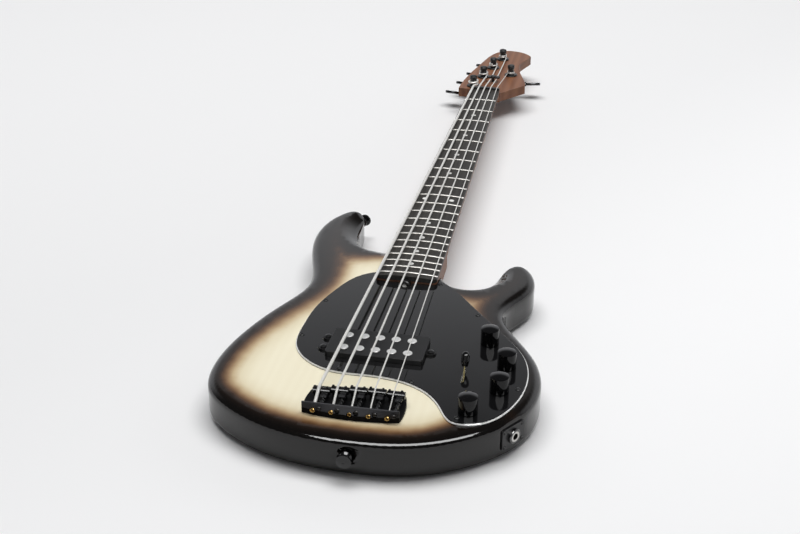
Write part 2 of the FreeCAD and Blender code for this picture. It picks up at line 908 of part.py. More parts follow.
def make_body():
    blank = smooth_plate(body_outline, 0, body_top)
    body = blank.makeFillet(edge_radius, edges_at(blank, 0) + edges_at(blank, body_top))
    for scoop in horn_scoops:
        body = body.cut(scoop_cone(*scoop))
    over = body_top + 1
    pocket_end = heel_end + 2 * heel_length
    cuts = [neck_plan(heel_end - pocket_clearance, pocket_end, pocket_clearance, pocket_floor, over)]
    cuts.append(wheel_notch(body_top - wheel_well, over))
    route = body_top - route_depth
    cuts.append(join([pickup_plan(2 * pickup_gap, route, over)] + ear_lobes(2 * pickup_gap, route, over)))
    well = body_top - cavity_depth
    slot = switch_length / 2 + switch_gap
    far = switch_x + 2 * cavity_radius
    bay = box(switch_x - cavity_radius, far, switch_y - slot, switch_y + slot, well, over)
    cuts.append(join([knob_chain(cavity_radius, well, over), bay]))
    for x, y in ear_places():
        cuts.append(rod(ear_screw_radius + 3 * screw_gap, (x, y, ear_hole_floor), (x, y, route + 1)))
    for x, y in bolt_places():
        cuts.append(rod(bolt_radius + screw_gap, (x, y, -1), (x, y, pocket_floor + 1)))
        cuts.append(rod(ferrule_radius + seat_gap, (x, y, -1), (x, y, ferrule_depth)))
    for x, y in bridge_screw_places():
        cuts.append(rod(bridge_screw_radius + screw_gap, (x, y, bridge_screw_tip - 1), (x, y, over)))
    cuts.append(battery_pocket())
    seat = rod(jack_clear_radius, (-jack_depth - jack_well, 0, 0), (1, 0, 0))
    side = box(0, jack_depth, -jack_plate_width, jack_plate_width, -body_top, body_top)
    for tool in (seat, side):
        tool.Placement = jack_frame().multiply(tool.Placement)
        cuts.append(tool)
    for place in strap_places:
        foot, out = strap_frame(place)
        cuts.append(rod(strap_screw + screw_gap, foot - out * (strap_screw_length + 1), foot + out))
        cuts.append(rod(strap_radius + 1, foot, foot + out * strap_height))
    return body.cut(Part.makeCompound(cuts))


def wheel_notch(z0, z1):
    half = wheel_radius + wheel_slot_gap
    return box(-half, half, heel_end - wheel_length - 3 * wheel_slot_gap, heel_end + 1, z0, z1)


def make_guard():
    blank = smooth_plate(guard_outline, body_top, guard_top)
    guard = blank.makeChamfer(guard_bevel, edges_at(blank, guard_top))
    low = body_top - 1
    high = guard_top + 1
    gap = 2 * pocket_clearance
    cuts = [neck_plan(heel_end - gap, heel_end + heel_length, gap, low, high)]
    cuts.append(wheel_notch(low, high))
    cuts.append(join([pickup_plan(pickup_gap, low, high)] + ear_lobes(pickup_gap, low, high)))
    for x, y in knob_places:
        cuts.append(rod(pot_bush_radius + screw_gap, (x, y, low), (x, y, high)))
    half = switch_slot_width / 2
    reach = switch_slot_length / 2 - half
    slot = box(switch_x - half, switch_x + half, switch_y - reach, switch_y + reach, low, high)
    ends = [rod(half, (switch_x, y, low), (switch_x, y, high)) for y in (switch_y - reach, switch_y + reach)]
    cuts.append(join([slot] + ends))
    return guard.cut(Part.makeCompound(cuts))


def pole_places():
    places = []
    for k in range(string_count):
        for side in (-1, 1):
            places.append((string_x(k, pole_spacing), pickup_y + side * pole_rows / 2))
    return places


def make_cover():
    low = pickup_top - pickup_case
    case = pickup_plan(0, low, pickup_top)
    case = case.makeFillet(pickup_edge, edges_at(case, pickup_top))
    lobes = ear_lobes(0, ear_top - ear_thickness, ear_top)
    hollow = pickup_plan(-pickup_shell, low - 1, pickup_top - 1.5 * pickup_shell)
    cover = join([case] + lobes).cut(hollow)
    holes = []
    for x, y in pole_places():
        holes.append(rod(pole_radius + seat_gap, (x, y, low), (x, y, pickup_top + 1)))
    for x, y in ear_places():
        holes.append(rod(ear_screw_radius + screw_gap, (x, y, low), (x, y, ear_top + 1)))
    return cover.cut(Part.makeCompound(holes))


def make_poles():
    top = pickup_top + pole_proud
    poles = []
    for x, y in pole_places():
        pole = rod(pole_radius, (x, y, top - pole_length), (x, y, top))
        poles.append(pole.makeChamfer(pole_proud / 2, edges_at(pole, top)))
    return poles


def make_coils():
    top = pickup_top - 1.5 * pickup_shell - seat_gap
    half_x = string_x(string_count - 1, pole_spacing)
    coils = []
    for side in (-1, 1):
        y = pickup_y + side * pole_rows / 2
        r = pole_radius + coil_thickness
        parts = [box(-half_x, half_x, y - r, y + r, top - coil_height, top)]
        for x in (-half_x, half_x):
            parts.append(rod(r, (x, y, top - coil_height), (x, y, top)))
        holes = []
        for px, py in pole_places():
            holes.append(rod(pole_radius + seat_gap, (px, py, top - coil_height - 1), (px, py, top + 1)))
        coils.append(join(parts).cut(Part.makeCompound(holes)))
    return coils


def make_ear_screws():
    half = ear_head_height / 2
    return [turned([
        (0, -ear_screw_length), (ear_screw_radius, -ear_screw_length), (ear_screw_radius, 0),
        (ear_head_radius, 0), (ear_head_radius, half, dome(ear_head_radius, half)), (0, ear_head_height),
    ], (x, y, ear_top)) for x, y in ear_places()]


def make_ear_springs():
    length = ear_top - ear_thickness - (body_top - route_depth) - 2 * seat_gap
    spring, gap = coil_spring(ear_spring_radius, ear_spring_turns, spring_wire, length)
    print("pickup spring free gap", round(gap, 2), "mm")
    springs = []
    for x, y in ear_places():
        springs.append(place_solid(spring, (x, y, body_top - route_depth + seat_gap), (0, 0, 1), 0))
    return springs


def bridge_face(front, z):
    # Plan of the bridge plate forward to the line y = front
    plan = ((plate_half_front, front), (plate_half_middle, plate_middle), (plate_half_rear, wall_end))
    right = [V(x, y, z) for x, y in plan]
    left = [V(-x, y, z) for x, y in plan]
    return [
        Part.Arc(right[0], right[1], right[2]), Part.Arc(right[2], V(0, wall_middle, z), left[2]),
        Part.Arc(left[2], left[1], left[0]), Part.LineSegment(left[0], right[0]),
    ]


def wall_wire(z, end, bow):
    # Level section of the tail wall: straight towards the saddles, bowed towards the tail
    half = plate_half_rear
    corners = [V(-half, end, z), V(-half, wall_inner, z), V(half, wall_inner, z), V(half, end, z)]
    runs = [Part.LineSegment(a, b) for a, b in zip(corners, corners[1:])]
    runs.append(Part.Arc(corners[-1], V(0, end - bow, z), corners[0]))
    return Part.Wire([r.toShape() for r in runs])


def bridge_screw_places():
    return [(string_x(k, bridge_spacing), bridge_screw_y) for k in range(string_count)]


def screw_x(index):
    return string_x(index, bridge_spacing) + intonation_offset


def make_bridge():
    floor = face_of(bridge_face(plate_front, body_top)).extrude(V(0, 0, plate_thickness))
    floor = floor.makeFillet(plate_thickness / 3, edges_at(floor, plate_top))
    bow = wall_end - wall_middle
    base = Part.Face(wall_wire(body_top, wall_end, bow)).extrude(V(0, 0, wall_base))
    slope = Part.makeLoft([
        wall_wire(body_top + wall_base, wall_end, bow),
        wall_wire(body_top + wall_height, wall_inner - wall_rim, wall_rim / 2),
    ], True, True)
    cuts = []
    for k in range(string_count):
        ball, leave, crest, nut = string_corners(k)
        cuts.append(rod(string_gauges[k] / 2 + wrap_clearance, ball - V(0, 1, 0), leave))
        cuts.append(rod(ball_radius + screw_gap, ball - V(0, 2 * ball_length, 0), ball))
        x = screw_x(k)
        z = intonation_z
        seat = wall_inner - intonation_seat
        cuts.append(rod(intonation_radius + running_gap, (x, seat - 1, z), (x, wall_inner + 1, z)))
        cuts.append(rod(intonation_head + wrap_clearance, (x, 2 * wall_middle, z), (x, seat, z)))
    for x, y in bridge_screw_places():
        cuts.append(rod(bridge_screw_radius + screw_gap, (x, y, 0), (x, y, plate_top + 1)))
        foot = plate_top - bridge_head_depth
        cuts.append(rod(bridge_screw_head + screw_gap, (x, y, foot), (x, y, plate_top + 1)))
    return join([floor, base, slope]).cut(Part.makeCompound(cuts))


def make_bridge_screws():
    screws = []
    for x, y in bridge_screw_places():
        foot = plate_top - bridge_head_depth
        rise = bridge_head_depth / 2
        screws.append(turned([
            (0, bridge_screw_tip), (bridge_screw_radius, bridge_screw_tip + bridge_screw_point),
            (bridge_screw_radius, foot),
            (bridge_screw_head, foot), (bridge_screw_head, plate_top - rise, dome(bridge_screw_head, rise)),
            (0, plate_top),
        ], (x, y, 0)))
    return screws


def make_saddle(index):
    # Grooved barrel across the string, with a boss behind it that takes the intonation screw
    ball, leave, crest, nut = string_corners(index)
    r = string_gauges[index] / 2
    axis_z = crest.z - r + saddle_groove - saddle_radius
    left = crest.x - saddle_left
    barrel = rod(saddle_radius, (left, crest.y, axis_z), (left + saddle_width, crest.y, axis_z))
    barrel = barrel.makeChamfer(saddle_bevel, [e for e in barrel.Edges if e.BoundBox.XLength < 1e-4])
    x = screw_x(index)
    z = intonation_z
    back = crest.y - saddle_tail
    front = crest.y - saddle_front
    boss = rod(saddle_boss, (x, back, z), (x, front, z))
    web = box(x - saddle_boss, x + saddle_boss, back, front, z, axis_z)
    ahead = crest + (nut - crest).normalize() * (3 * saddle_radius)
    cuts = [tube(bend([leave, crest, ahead], bend_radius), 2 * (r + string_clearance))]
    cuts.append(string_trench(crest, leave, r + string_clearance))
    floor = front - saddle_floor
    cuts.append(rod(intonation_radius + running_gap, (x, back - 1, z), (x, floor, z)))
    screws = []
    top = axis_z + saddle_radius + screw_stand
    for sx in height_screw_places(index):
        cuts.append(rod(height_screw_radius + seat_gap, (sx, crest.y, plate_top), (sx, crest.y, top + 1)))
        pin = rod(height_screw_radius, (sx, crest.y, plate_top + seat_gap), (sx, crest.y, top))
        screws.append(pin.cut(prism_ring(sx, crest.y, socket_radius, top - socket_depth, top + 1)))
    saddle = join([barrel, boss, web])
    for cut in cuts:
        saddle = saddle.cut(cut)
    return [saddle] + screws


def string_trench(crest, leave, half):
    # Open slot above the string where it climbs to the saddle crest
    x = crest.x - half
    ahead = crest.y + 3 * saddle_radius
    top = crest.z + 2 * saddle_radius
    plan = ((leave.y, leave.z), (crest.y, crest.z), (ahead, crest.z), (ahead, top), (leave.y, top))
    points = [V(x, y, z) for y, z in plan]
    return Part.Face(Part.makePolygon(points + points[:1])).extrude(V(2 * half, 0, 0))


def height_screw_places(index):
    x = string_x(index, bridge_spacing)
    return [x - height_screw_left, x + height_screw_right]


def prism_ring(x, y, radius, z0, z1):
    angles = [2 * math.pi * k / socket_sides for k in range(socket_sides)]
    return prism([(x + radius * math.cos(a), y + radius * math.sin(a)) for a in angles], z0, z1)


def make_intonation_screw(index):
    x = screw_x(index)
    z = intonation_z
    seat = wall_inner - intonation_seat
    tip = -saddle_setback[index] - saddle_tail + intonation_reach
    end = intonation_head_length + tip - seat
    screw = turned([
        (0, 0), (intonation_head - intonation_bevel, 0), (intonation_head, intonation_bevel),
        (intonation_head, intonation_head_length), (intonation_radius, intonation_head_length),
        (intonation_radius, end), (0, end),
    ], (x, seat - intonation_head_length - seat_gap, z), V(0, 1, 0))
    half = intonation_slot / 2
    reach = 2 * intonation_head
    deep = seat - intonation_head_length / 2
    slot = box(x - reach, x + reach, deep - 2 * intonation_head_length, deep, z - half, z + half)
    return screw.cut(slot)


def make_intonation_springs():
    springs = []
    for k in range(string_count):
        length = -saddle_setback[k] - saddle_tail - wall_inner - 2 * seat_gap
        spring, gap = coil_spring(intonation_spring_radius, spring_turns, spring_wire, length)
        print("saddle spring", k + 1, "free gap", round(gap, 2), "mm")
        place = (screw_x(k), wall_inner + seat_gap, intonation_z)
        springs.append(place_solid(spring, place, (1, 0, 0), -90))
    return springs


def make_knob(place):
    x, y = place
    base = guard_top + knob_gap
    top = base + knob_height
    inside = base + knob_recess
    neck = body_top - shaft_reach
    return turned([
        (0, neck), (shaft_radius, neck), (shaft_radius, inside), (knob_recess_radius, inside),
        (knob_recess_radius, base), (knob_radius, base), (knob_radius, top - knob_shoulder),
        (knob_radius - knob_ring, top - knob_dome, dome(knob_radius - knob_ring, knob_dome)), (0, top),
    ], (x, y, 0))


def make_pot(place):
    x, y = place
    low = body_top - pot_height
    top = guard_top + pot_nut_height
    bore = shaft_radius + running_gap
    return turned([
        (0, low), (pot_radius, low), (pot_radius, body_top), (pot_bush_radius, body_top),
        (pot_bush_radius, guard_top), (pot_nut_radius, guard_top), (pot_nut_radius, top), (bore, top),
        (bore, body_top - shaft_reach - 0.5), (0, body_top - shaft_reach - 0.5),
    ], (x, y, 0))


def pivot_z():
    return body_top - switch_pivot_drop


def make_switch_frame():
    low = pivot_z() - switch_pivot_drop
    half_y = switch_length / 2
    half_x = switch_width / 2
    slot = lever_thickness / 2 + switch_gap
    inner = half_y - switch_cheek
    frame = box(-half_x, half_x, -half_y, half_y, low, body_top)
    frame = frame.cut(box(-slot, slot, -inner, inner, low + switch_cheek, body_top + 1))
    pin = rod(lever_pin, (-half_x, 0, pivot_z()), (half_x, 0, pivot_z()))
    frame = join([frame, pin])
    frame.translate(V(switch_x, switch_y, 0))
    return frame


def make_lever():
    half = lever_thickness / 2
    hub = rod(lever_hub, (-half, 0, 0), (half, 0, 0))
    blade = box(-half, half, -lever_width / 2, lever_width / 2, 0, lever_length + lever_tip_length / 3)
    base = lever_length
    end = base + lever_tip_length
    round_end = 0.3 * lever_tip_length
    tip = turned([
        (0, base), (lever_tip_radius * 0.7, base), (lever_tip_radius, base + lever_tip_length / 3),
        (lever_tip_radius, end - round_end, dome(lever_tip_radius, round_end)), (0, end),
    ], (0, 0, 0))
    lever = join([hub, blade, tip]).cut(rod(lever_pin + running_gap, (-half - 1, 0, 0), (half + 1, 0, 0)))
    return place_solid(lever, (switch_x, switch_y, pivot_z()), (1, 0, 0), -lever_rest_tilt)


def make_jack_plate():
    half_w = jack_plate_width / 2
    half_h = jack_plate_height / 2
    plate = box(0, jack_plate_thickness, -half_w, half_w, -half_h, half_h)
    lengthwise = [e for e in plate.Edges if e.BoundBox.XLength > jack_plate_thickness / 2]
    plate = plate.makeFillet(jack_corner, lengthwise)
    plate = plate.cut(rod(jack_barrel_radius + screw_gap, (-1, 0, 0), (jack_plate_thickness + 1, 0, 0)))
    plate.Placement = jack_frame()
    return plate


def make_jack():
    out = jack_plate_thickness
    mouth = out + jack_nut_thickness
    end = -jack_depth - jack_end
    socket = turned([
        (jack_bore_radius, mouth), (jack_bore_radius, -jack_depth), (0, -jack_depth), (0, end),
        (jack_can_radius, end), (jack_can_radius, 0), (jack_barrel_radius, 0), (jack_barrel_radius, out),
        (jack_nut_radius, out), (jack_nut_radius, mouth - jack_nut_bevel),
        (jack_nut_radius - jack_nut_bevel, mouth),
    ], (0, 0, 0), V(1, 0, 0))
    socket.Placement = jack_frame().multiply(socket.Placement)
    return socket


def make_strap_buttons():
    buttons = []
    flange = strap_height - strap_flange
    for place in strap_places:
        foot, out = strap_frame(place)
        buttons.append(turned([
            (0, -strap_screw_length), (strap_screw, -strap_screw_length), (strap_screw, 0), (strap_foot, 0),
            (strap_foot, strap_foot_height), (strap_waist, 2 * strap_foot_height),
            (strap_waist, flange - strap_foot_height), (strap_radius, flange),
            (strap_radius, strap_height - strap_dome, dome(strap_radius, strap_dome)), (0, strap_height),
        ], foot, out))
    return buttons


def make_truss_rod():
    start = heel_end - wheel_length - 2 * wheel_slot_gap
    return rod(rod_radius, (0, start, rod_z), (0, scale_length - rod_stop - 1, rod_z))


def make_truss_wheel():
    start = heel_end - wheel_length - wheel_slot_gap
    wheel = rod(wheel_radius, (0, start, rod_z), (0, start + wheel_length, rod_z))
    wheel = wheel.makeChamfer(wheel_bevel, wheel.Edges[0:1] + wheel.Edges[2:3])
    cuts = [rod(rod_radius + running_gap, (0, start - 1, rod_z), (0, start + wheel_length + 1, rod_z))]
    middle = V(0, start + wheel_length / 2, rod_z)
    inner = rod_radius + wheel_bevel
    for k in range(wheel_holes):
        angle = 2 * math.pi * (k + 0.5) / wheel_holes
        out = V(math.cos(angle), 0, math.sin(angle))
        cuts.append(rod(wheel_hole, middle + out * inner, middle + out * (wheel_radius + 1)))
    return wheel.cut(Part.makeCompound(cuts))


def make_bolts():
    bolts = []
    for x, y in bolt_places():
        rest = ferrule_depth - ferrule_floor
        face = ferrule_depth - bolt_head_height - bolt_bevel
        bolts.append(turned([
            (0, face), (bolt_head_radius - bolt_bevel, face), (bolt_head_radius, face + bolt_bevel),
            (bolt_head_radius, rest), (bolt_radius, rest), (bolt_radius, bolt_top - bolt_radius),
            (0, bolt_top),
        ], (x, y, 0)))
    return bolts


def make_ferrules():
    ferrules = []
    rim = bolt_head_radius + 2 * screw_gap
    bore = bolt_radius + screw_gap
    rest = ferrule_depth - ferrule_floor
    for x, y in bolt_places():
        ferrules.append(turned([
            (bore, ferrule_depth), (ferrule_radius, ferrule_depth), (ferrule_radius, ferrule_inset),
            (rim, ferrule_inset), (rim, rest), (bore, rest),
        ], (x, y, 0)))
    return ferrules


def battery_case():
    # Inner width, length and height of the battery box
    width = 2 * battery_width + 3 * battery_gap
    return width, battery_length + 2 * battery_gap, battery_height + battery_gap


def battery_pocket():
    width, length, height = battery_case()
    half_x = width / 2 + battery_wall + seat_gap
    half_y = length / 2 + battery_wall + seat_gap
    top = lid_inset + lid_thickness + battery_gap + height + battery_wall + seat_gap
    return box(battery_x - half_x, battery_x + half_x, battery_y - half_y, battery_y + half_y, -1, top)


def hinge_place():
    width, length, height = battery_case()
    return battery_x - width / 2 + lid_hinge_radius, lid_inset + lid_thickness / 2


def make_battery_box():
    width, length, height = battery_case()
    base = lid_inset + lid_thickness + battery_gap
    half_x = width / 2
    half_y = length / 2
    out_x = half_x + battery_wall
    out_y = half_y + battery_wall
    shell = box(-out_x, out_x, -out_y, out_y, lid_inset, base + height + battery_wall)
    shell = shell.cut(box(-half_x, half_x, -half_y, half_y, -1, base + height))
    shell.translate(V(battery_x, battery_y, 0))
    x, z = hinge_place()
    pins = []
    for side in (-1, 1):
        tip = battery_y + side * (half_y - lid_pin_length)
        root = battery_y + side * (half_y + battery_wall / 2)
        pins.append(rod(lid_pin, (x, tip, z), (x, root, z)))
    return join([shell] + pins)


def make_lid():
    width, length, height = battery_case()
    half_y = length / 2 - battery_gap
    x, z = hinge_place()
    far = battery_x + width / 2 - battery_gap
    panel = box(x, far, battery_y - half_y, battery_y + half_y, lid_inset, lid_inset + lid_thickness)
    barrel = rod(lid_thickness / 2, (x, battery_y - half_y, z), (x, battery_y + half_y, z))
    grip = V(far - lid_thickness, battery_y, lid_inset)
    along = V(0, lid_grip, 0)
    lip = rod(lid_thickness / 2, grip - along, grip + along)
    lid = join([panel, barrel]).cut(lip)
    holes = []
    for side in (-1, 1):
        start = battery_y + side * (half_y - lid_pin_length)
        end = battery_y + side * (length / 2 + 1)
        holes.append(rod(lid_pin + running_gap, (x, start, z), (x, end, z)))
    return lid.cut(Part.makeCompound(holes))


def make_batteries():
    cells = []
    base = lid_inset + lid_thickness + battery_gap
    shift = (battery_width + battery_gap) / 2
    half = battery_width / 2
    low = battery_y - battery_length / 2
    snap = low + battery_length - stud_height
    z = base + battery_height / 2
    for x in (battery_x - shift, battery_x + shift):
        case = box(x - half, x + half, low, snap, base, base + battery_height)
        lengthwise = [e for e in case.Edges if e.BoundBox.YLength > battery_length / 2]
        case = case.makeFillet(battery_round, lengthwise)
        studs = [rod(r, (x + s, snap, z), (x + s, snap + stud_height, z)) for s, r in battery_studs]
        cells.append(join([case] + studs))
    return cells


def make_preamp():
    # Circuit board on four posts, with a chip and a row of round capacitors
    x, y = preamp_place
    half_x, half_y = preamp_size
    chip_x, chip_y, chip_z = preamp_chip
    can_radius, can_pitch, can_height = preamp_cans
    low = body_top - cavity_depth
    top = low + preamp_stand + preamp_thickness
    parts = [box(x - half_x, x + half_x, y - half_y, y + half_y, low + preamp_stand, top)]
    inset = 2 * preamp_post
    for px in (x - half_x + inset, x + half_x - inset):
        for py in (y - half_y + inset, y + half_y - inset):
            parts.append(rod(preamp_post, (px, py, low), (px, py, top)))
    parts.append(box(x - chip_x / 2, x + chip_x / 2, y - chip_y, y, top, top + chip_z))
    row = y + half_y / 2
    for cx in (x - can_pitch, x, x + can_pitch):
        parts.append(rod(can_radius, (cx, row, top), (cx, row, top + can_height)))
    return join(parts)


def tooth_half(radius):
    # Half thickness of a worm thread or gear tooth of straight flanks at a distance outside its pitch line
    return tooth_thickness / 2 - tooth_slope * radius


def make_worm_key():
    root = worm_pitch_radius - tooth_root
    tip = worm_pitch_radius + tooth_reach
    half = worm_length / 2
    low = -worm_pitch * (math.ceil(half / worm_pitch) + 1)
    spine = Part.makeLongHelix(worm_pitch, -2 * low, worm_pitch_radius)
    spine.translate(V(0, 0, low))
    foot = -tooth_root - seat_gap
    corners = [(foot, -1), (tooth_reach, -1), (tooth_reach, 1), (foot, 1)]
    section = ring([(worm_pitch_radius + r, 0, low + s * tooth_half(r)) for r, s in corners])
    thread = Part.Wire(spine.Edges).makePipeShell([section], True, True)
    thread = thread.common(rod(tip + 1, (0, 0, -half), (0, 0, half)))
    inner = -half - worm_overhang
    start = key_length - paddle_length
    core = rod(root, (0, 0, -half), (0, 0, half))
    shaft = rod(key_shaft_radius, (0, 0, inner), (0, 0, start + 2))
    collar = rod(key_collar_radius, (0, 0, start - key_collar_length), (0, 0, start + 1))
    key = join([core, thread, shaft, collar, make_paddle(start)])
    turn = FreeCAD.Rotation(V(0, 1, 0), 90)
    key.Placement = FreeCAD.Placement(V(0, tuner_center, worm_z), turn)
    return key


def make_paddle(start):
    # Flat ear with a rounded outline and softened rims
    half = paddle_width / 2
    plan = [
        (0, -0.02), (-0.45, 0.04), (-0.95, 0.35), (-0.9, 0.7), (-0.5, 0.95),
        (0, 1), (0.5, 0.95), (0.9, 0.7), (0.95, 0.35), (0.45, 0.04),
    ]
    points = [(half * u, start + paddle_length * v) for u, v in plan]
    paddle = smooth_plate(points, 0, paddle_thickness)
    rims = edges_at(paddle, 0) + edges_at(paddle, paddle_thickness)
    paddle = paddle.makeFillet(paddle_thickness / 3, rims)
    paddle.translate(V(0, 0, -paddle_thickness / 2))
    paddle.rotate(V(0, 0, 0), V(1, 0, 0), 90)
    paddle.rotate(V(0, 0, 0), V(0, 0, 1), paddle_tilt)
    return paddle


def gear_wire(z, turn):
    root = gear_pitch_radius - tooth_root
    tip = gear_pitch_radius + tooth_reach
    points = []
    for k in range(gear_teeth):
        centre = turn + 2 * math.pi * k / gear_teeth
        for radius, side in ((root, -1), (tip, -1), (tip, 1), (root, 1)):
            angle = centre + side * tooth_half(radius - gear_pitch_radius) / radius
            points.append((radius * math.cos(angle), radius * math.sin(angle), z))
    return ring(points)


def make_post():
    half = gear_width / 2
    lead = worm_pitch / (2 * math.pi * worm_pitch_radius)
    twist = gear_hand * half * lead / gear_pitch_radius
    start = math.pi / 2 + gear_phase * math.pi / gear_teeth
    rims = [gear_wire(worm_z + s * half, start + s * twist) for s in (-1, 1)]
    gear = Part.makeLoft(rims, True, True)
    spool_foot = washer_top + screw_gap
    spool_top = washer_top + spool_height
    cap_top = spool_top + cap_height
    low = worm_z - half - 1
    body = turned([
        (0, low), (post_stem_radius, low), (post_stem_radius, spool_foot), (post_radius, spool_foot),
        (post_radius, spool_top - cap_radius + post_radius), (cap_radius, spool_top),
        (cap_radius, cap_top - cap_round, cap_bulge), (cap_radius - cap_round, cap_top), (0, cap_top),
    ], (0, 0, 0))
    reach = 2 * cap_radius
    half = post_slot / 2
    slot = box(-reach, reach, -half, half, cap_top - post_slot_depth, cap_top + 1)
    return join([gear, body]).cut(slot)


def make_bushing():
    bore = post_stem_radius + running_gap
    return turned([
        (bore, head_back), (bushing_radius, head_back), (bushing_radius, head_top), (washer_radius, head_top),
        (washer_radius, washer_top - washer_round, washer_bulge), (washer_radius - washer_round, washer_top),
        (bore, washer_top),
    ], (0, 0, 0))


def make_tuner_plate():
    low = head_back - tuner_plate_thickness
    reach = tuner_center + ear_half
    plate = rounded_box(-plate_half, plate_half, -plate_half, reach, low, head_back, plate_corner)
    foot = worm_z - ear_half
    ears = []
    near = worm_length / 2 + ear_gap
    for x0 in (near, -near - ear_plate):
        x1 = x0 + ear_plate
        ears.append(box(x0, x1, tuner_center - ear_half, reach, worm_z, head_back))
        ears.append(rod(ear_half, (x0, tuner_center, worm_z), (x1, tuner_center, worm_z)))
    cuts = [rod(post_stem_radius + screw_gap, (0, 0, foot), (0, 0, head_back + 1))]
    far = V(worm_length + ear_plate, 0, 0)
    axis = V(0, tuner_center, worm_z)
    cuts.append(rod(key_shaft_radius + running_gap, axis - far, axis + far))
    return join([plate] + ears).cut(Part.makeCompound(cuts))


def export_all():
    os.makedirs("parts", exist_ok=True)
    export("body", make_body())
    export("neck", make_neck())
    export("fretboard", make_board())
    export("frets", *make_frets())
    export("position_dots", *make_dots())
    export("nut", make_nut())
    export("truss_rod", make_truss_rod())
    export("truss_rod_wheel", make_truss_wheel())
    export("neck_bolts", *make_bolts())
    export("neck_ferrules", *make_ferrules())
    export("pickguard", make_guard())
    export("pickup_cover", make_cover())
    export("pickup_poles", *make_poles())
    export("pickup_coils", *make_coils())
    export("pickup_screws", *make_ear_screws())
    export("pickup_springs", *make_ear_springs())
    export("bridge_plate", make_bridge())
    export("bridge_screws", *make_bridge_screws())
    for k in range(string_count):
        export("saddle_" + str(k + 1), *make_saddle(k))
        export("intonation_screw_" + str(k + 1), make_intonation_screw(k))
    export("intonation_springs", *make_intonation_springs())
    export("strings", *make_strings())
    export("ball_ends", *make_balls())
    export("string_tree", make_tree())
    for k, place in enumerate(knob_places):
        export("knob_" + str(k + 1), make_knob(place))
    export("potentiometers", *[make_pot(place) for place in knob_places])
    export("switch_frame", make_switch_frame())
    export("switch_lever", make_lever())
    export("jack_plate", make_jack_plate())
    export("jack_socket", make_jack())
    export("strap_buttons", *make_strap_buttons())
    export("battery_box", make_battery_box())
    export("batteries", *make_batteries())
    export("battery_lid", make_lid())
    export("preamp_board", make_preamp())
    key = make_worm_key()
    post = make_post()
    bushing = make_bushing()
    plate = make_tuner_plate()
    frames = tuner_frames()
    export("tuner_plates", *[to_tuner(plate, frame) for frame in frames])
    export("tuner_bushings", *[to_tuner(bushing, frame) for frame in frames])
    for k, frame in enumerate(frames):
        export("tuner_key_" + str(k + 1), to_tuner(key, frame))
        export("tuner_post_" + str(k + 1), to_tuner(post, frame))


export_all()
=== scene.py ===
import math

import bmesh
import bpy
from mathutils import Matrix, Vector
from mathutils.kdtree import KDTree


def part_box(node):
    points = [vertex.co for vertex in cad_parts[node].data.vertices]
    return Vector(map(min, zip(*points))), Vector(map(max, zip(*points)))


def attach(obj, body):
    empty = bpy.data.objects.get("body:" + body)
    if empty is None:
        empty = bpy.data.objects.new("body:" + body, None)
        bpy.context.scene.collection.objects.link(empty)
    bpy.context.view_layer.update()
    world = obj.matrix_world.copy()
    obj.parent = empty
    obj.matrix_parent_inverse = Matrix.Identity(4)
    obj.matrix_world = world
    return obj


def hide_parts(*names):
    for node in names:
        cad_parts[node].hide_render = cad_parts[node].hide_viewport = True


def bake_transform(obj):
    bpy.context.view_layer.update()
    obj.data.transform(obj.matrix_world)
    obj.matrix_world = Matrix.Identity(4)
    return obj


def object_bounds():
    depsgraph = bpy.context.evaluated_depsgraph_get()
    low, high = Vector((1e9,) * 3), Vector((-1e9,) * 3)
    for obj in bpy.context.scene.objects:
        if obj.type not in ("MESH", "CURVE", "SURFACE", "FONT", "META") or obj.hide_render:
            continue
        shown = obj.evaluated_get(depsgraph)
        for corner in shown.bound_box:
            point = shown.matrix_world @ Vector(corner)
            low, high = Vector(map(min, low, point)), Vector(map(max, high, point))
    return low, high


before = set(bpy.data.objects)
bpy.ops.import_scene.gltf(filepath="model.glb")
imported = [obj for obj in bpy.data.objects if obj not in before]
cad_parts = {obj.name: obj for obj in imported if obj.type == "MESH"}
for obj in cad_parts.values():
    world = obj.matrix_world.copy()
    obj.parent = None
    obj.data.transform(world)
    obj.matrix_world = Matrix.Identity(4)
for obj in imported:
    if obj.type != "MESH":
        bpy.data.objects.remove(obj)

scene = bpy.context.scene
scene.view_settings.view_transform = "Standard"
cadBox = [list(corner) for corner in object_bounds()]
mm = 0.001


# Camera, at the photograph's viewing angle
cameraView = {
    "lens": 57.535,
    "sensor": 36.0,
    "place": (239.74, -995.56, 709.67),
    "azimuth": -0.19769,
    "elevation": 0.47652,
    "roll": 0.00074,
    "clip": (0.01, 200.0),
}


def placeCamera(view):
    azimuth, elevation, roll = view["azimuth"], view["elevation"], view["roll"]
    forward = Vector((
        math.sin(azimuth) * math.cos(elevation),
        math.cos(azimuth) * math.cos(elevation),
        -math.sin(elevation),
    ))
    right = forward.cross(Vector((0, 0, 1))).normalized()
    up = right.cross(forward)
    across = right * math.cos(roll) + up * math.sin(roll)
    above = up * math.cos(roll) - right * math.sin(roll)
    data = bpy.data.cameras.new("photoCamera")
    data.lens = view["lens"]
    data.sensor_fit = "HORIZONTAL"
    data.sensor_width = view["sensor"]
    data.clip_start, data.clip_end = view["clip"]
    camera = bpy.data.objects.new("photoCamera", data)
    turn = Matrix((across, above, -forward)).transposed().to_4x4()
    camera.matrix_world = Matrix.Translation(Vector(view["place"]) * mm) @ turn
    scene.collection.objects.link(camera)
    scene.camera = camera


placeCamera(cameraView)
print("camera placed")


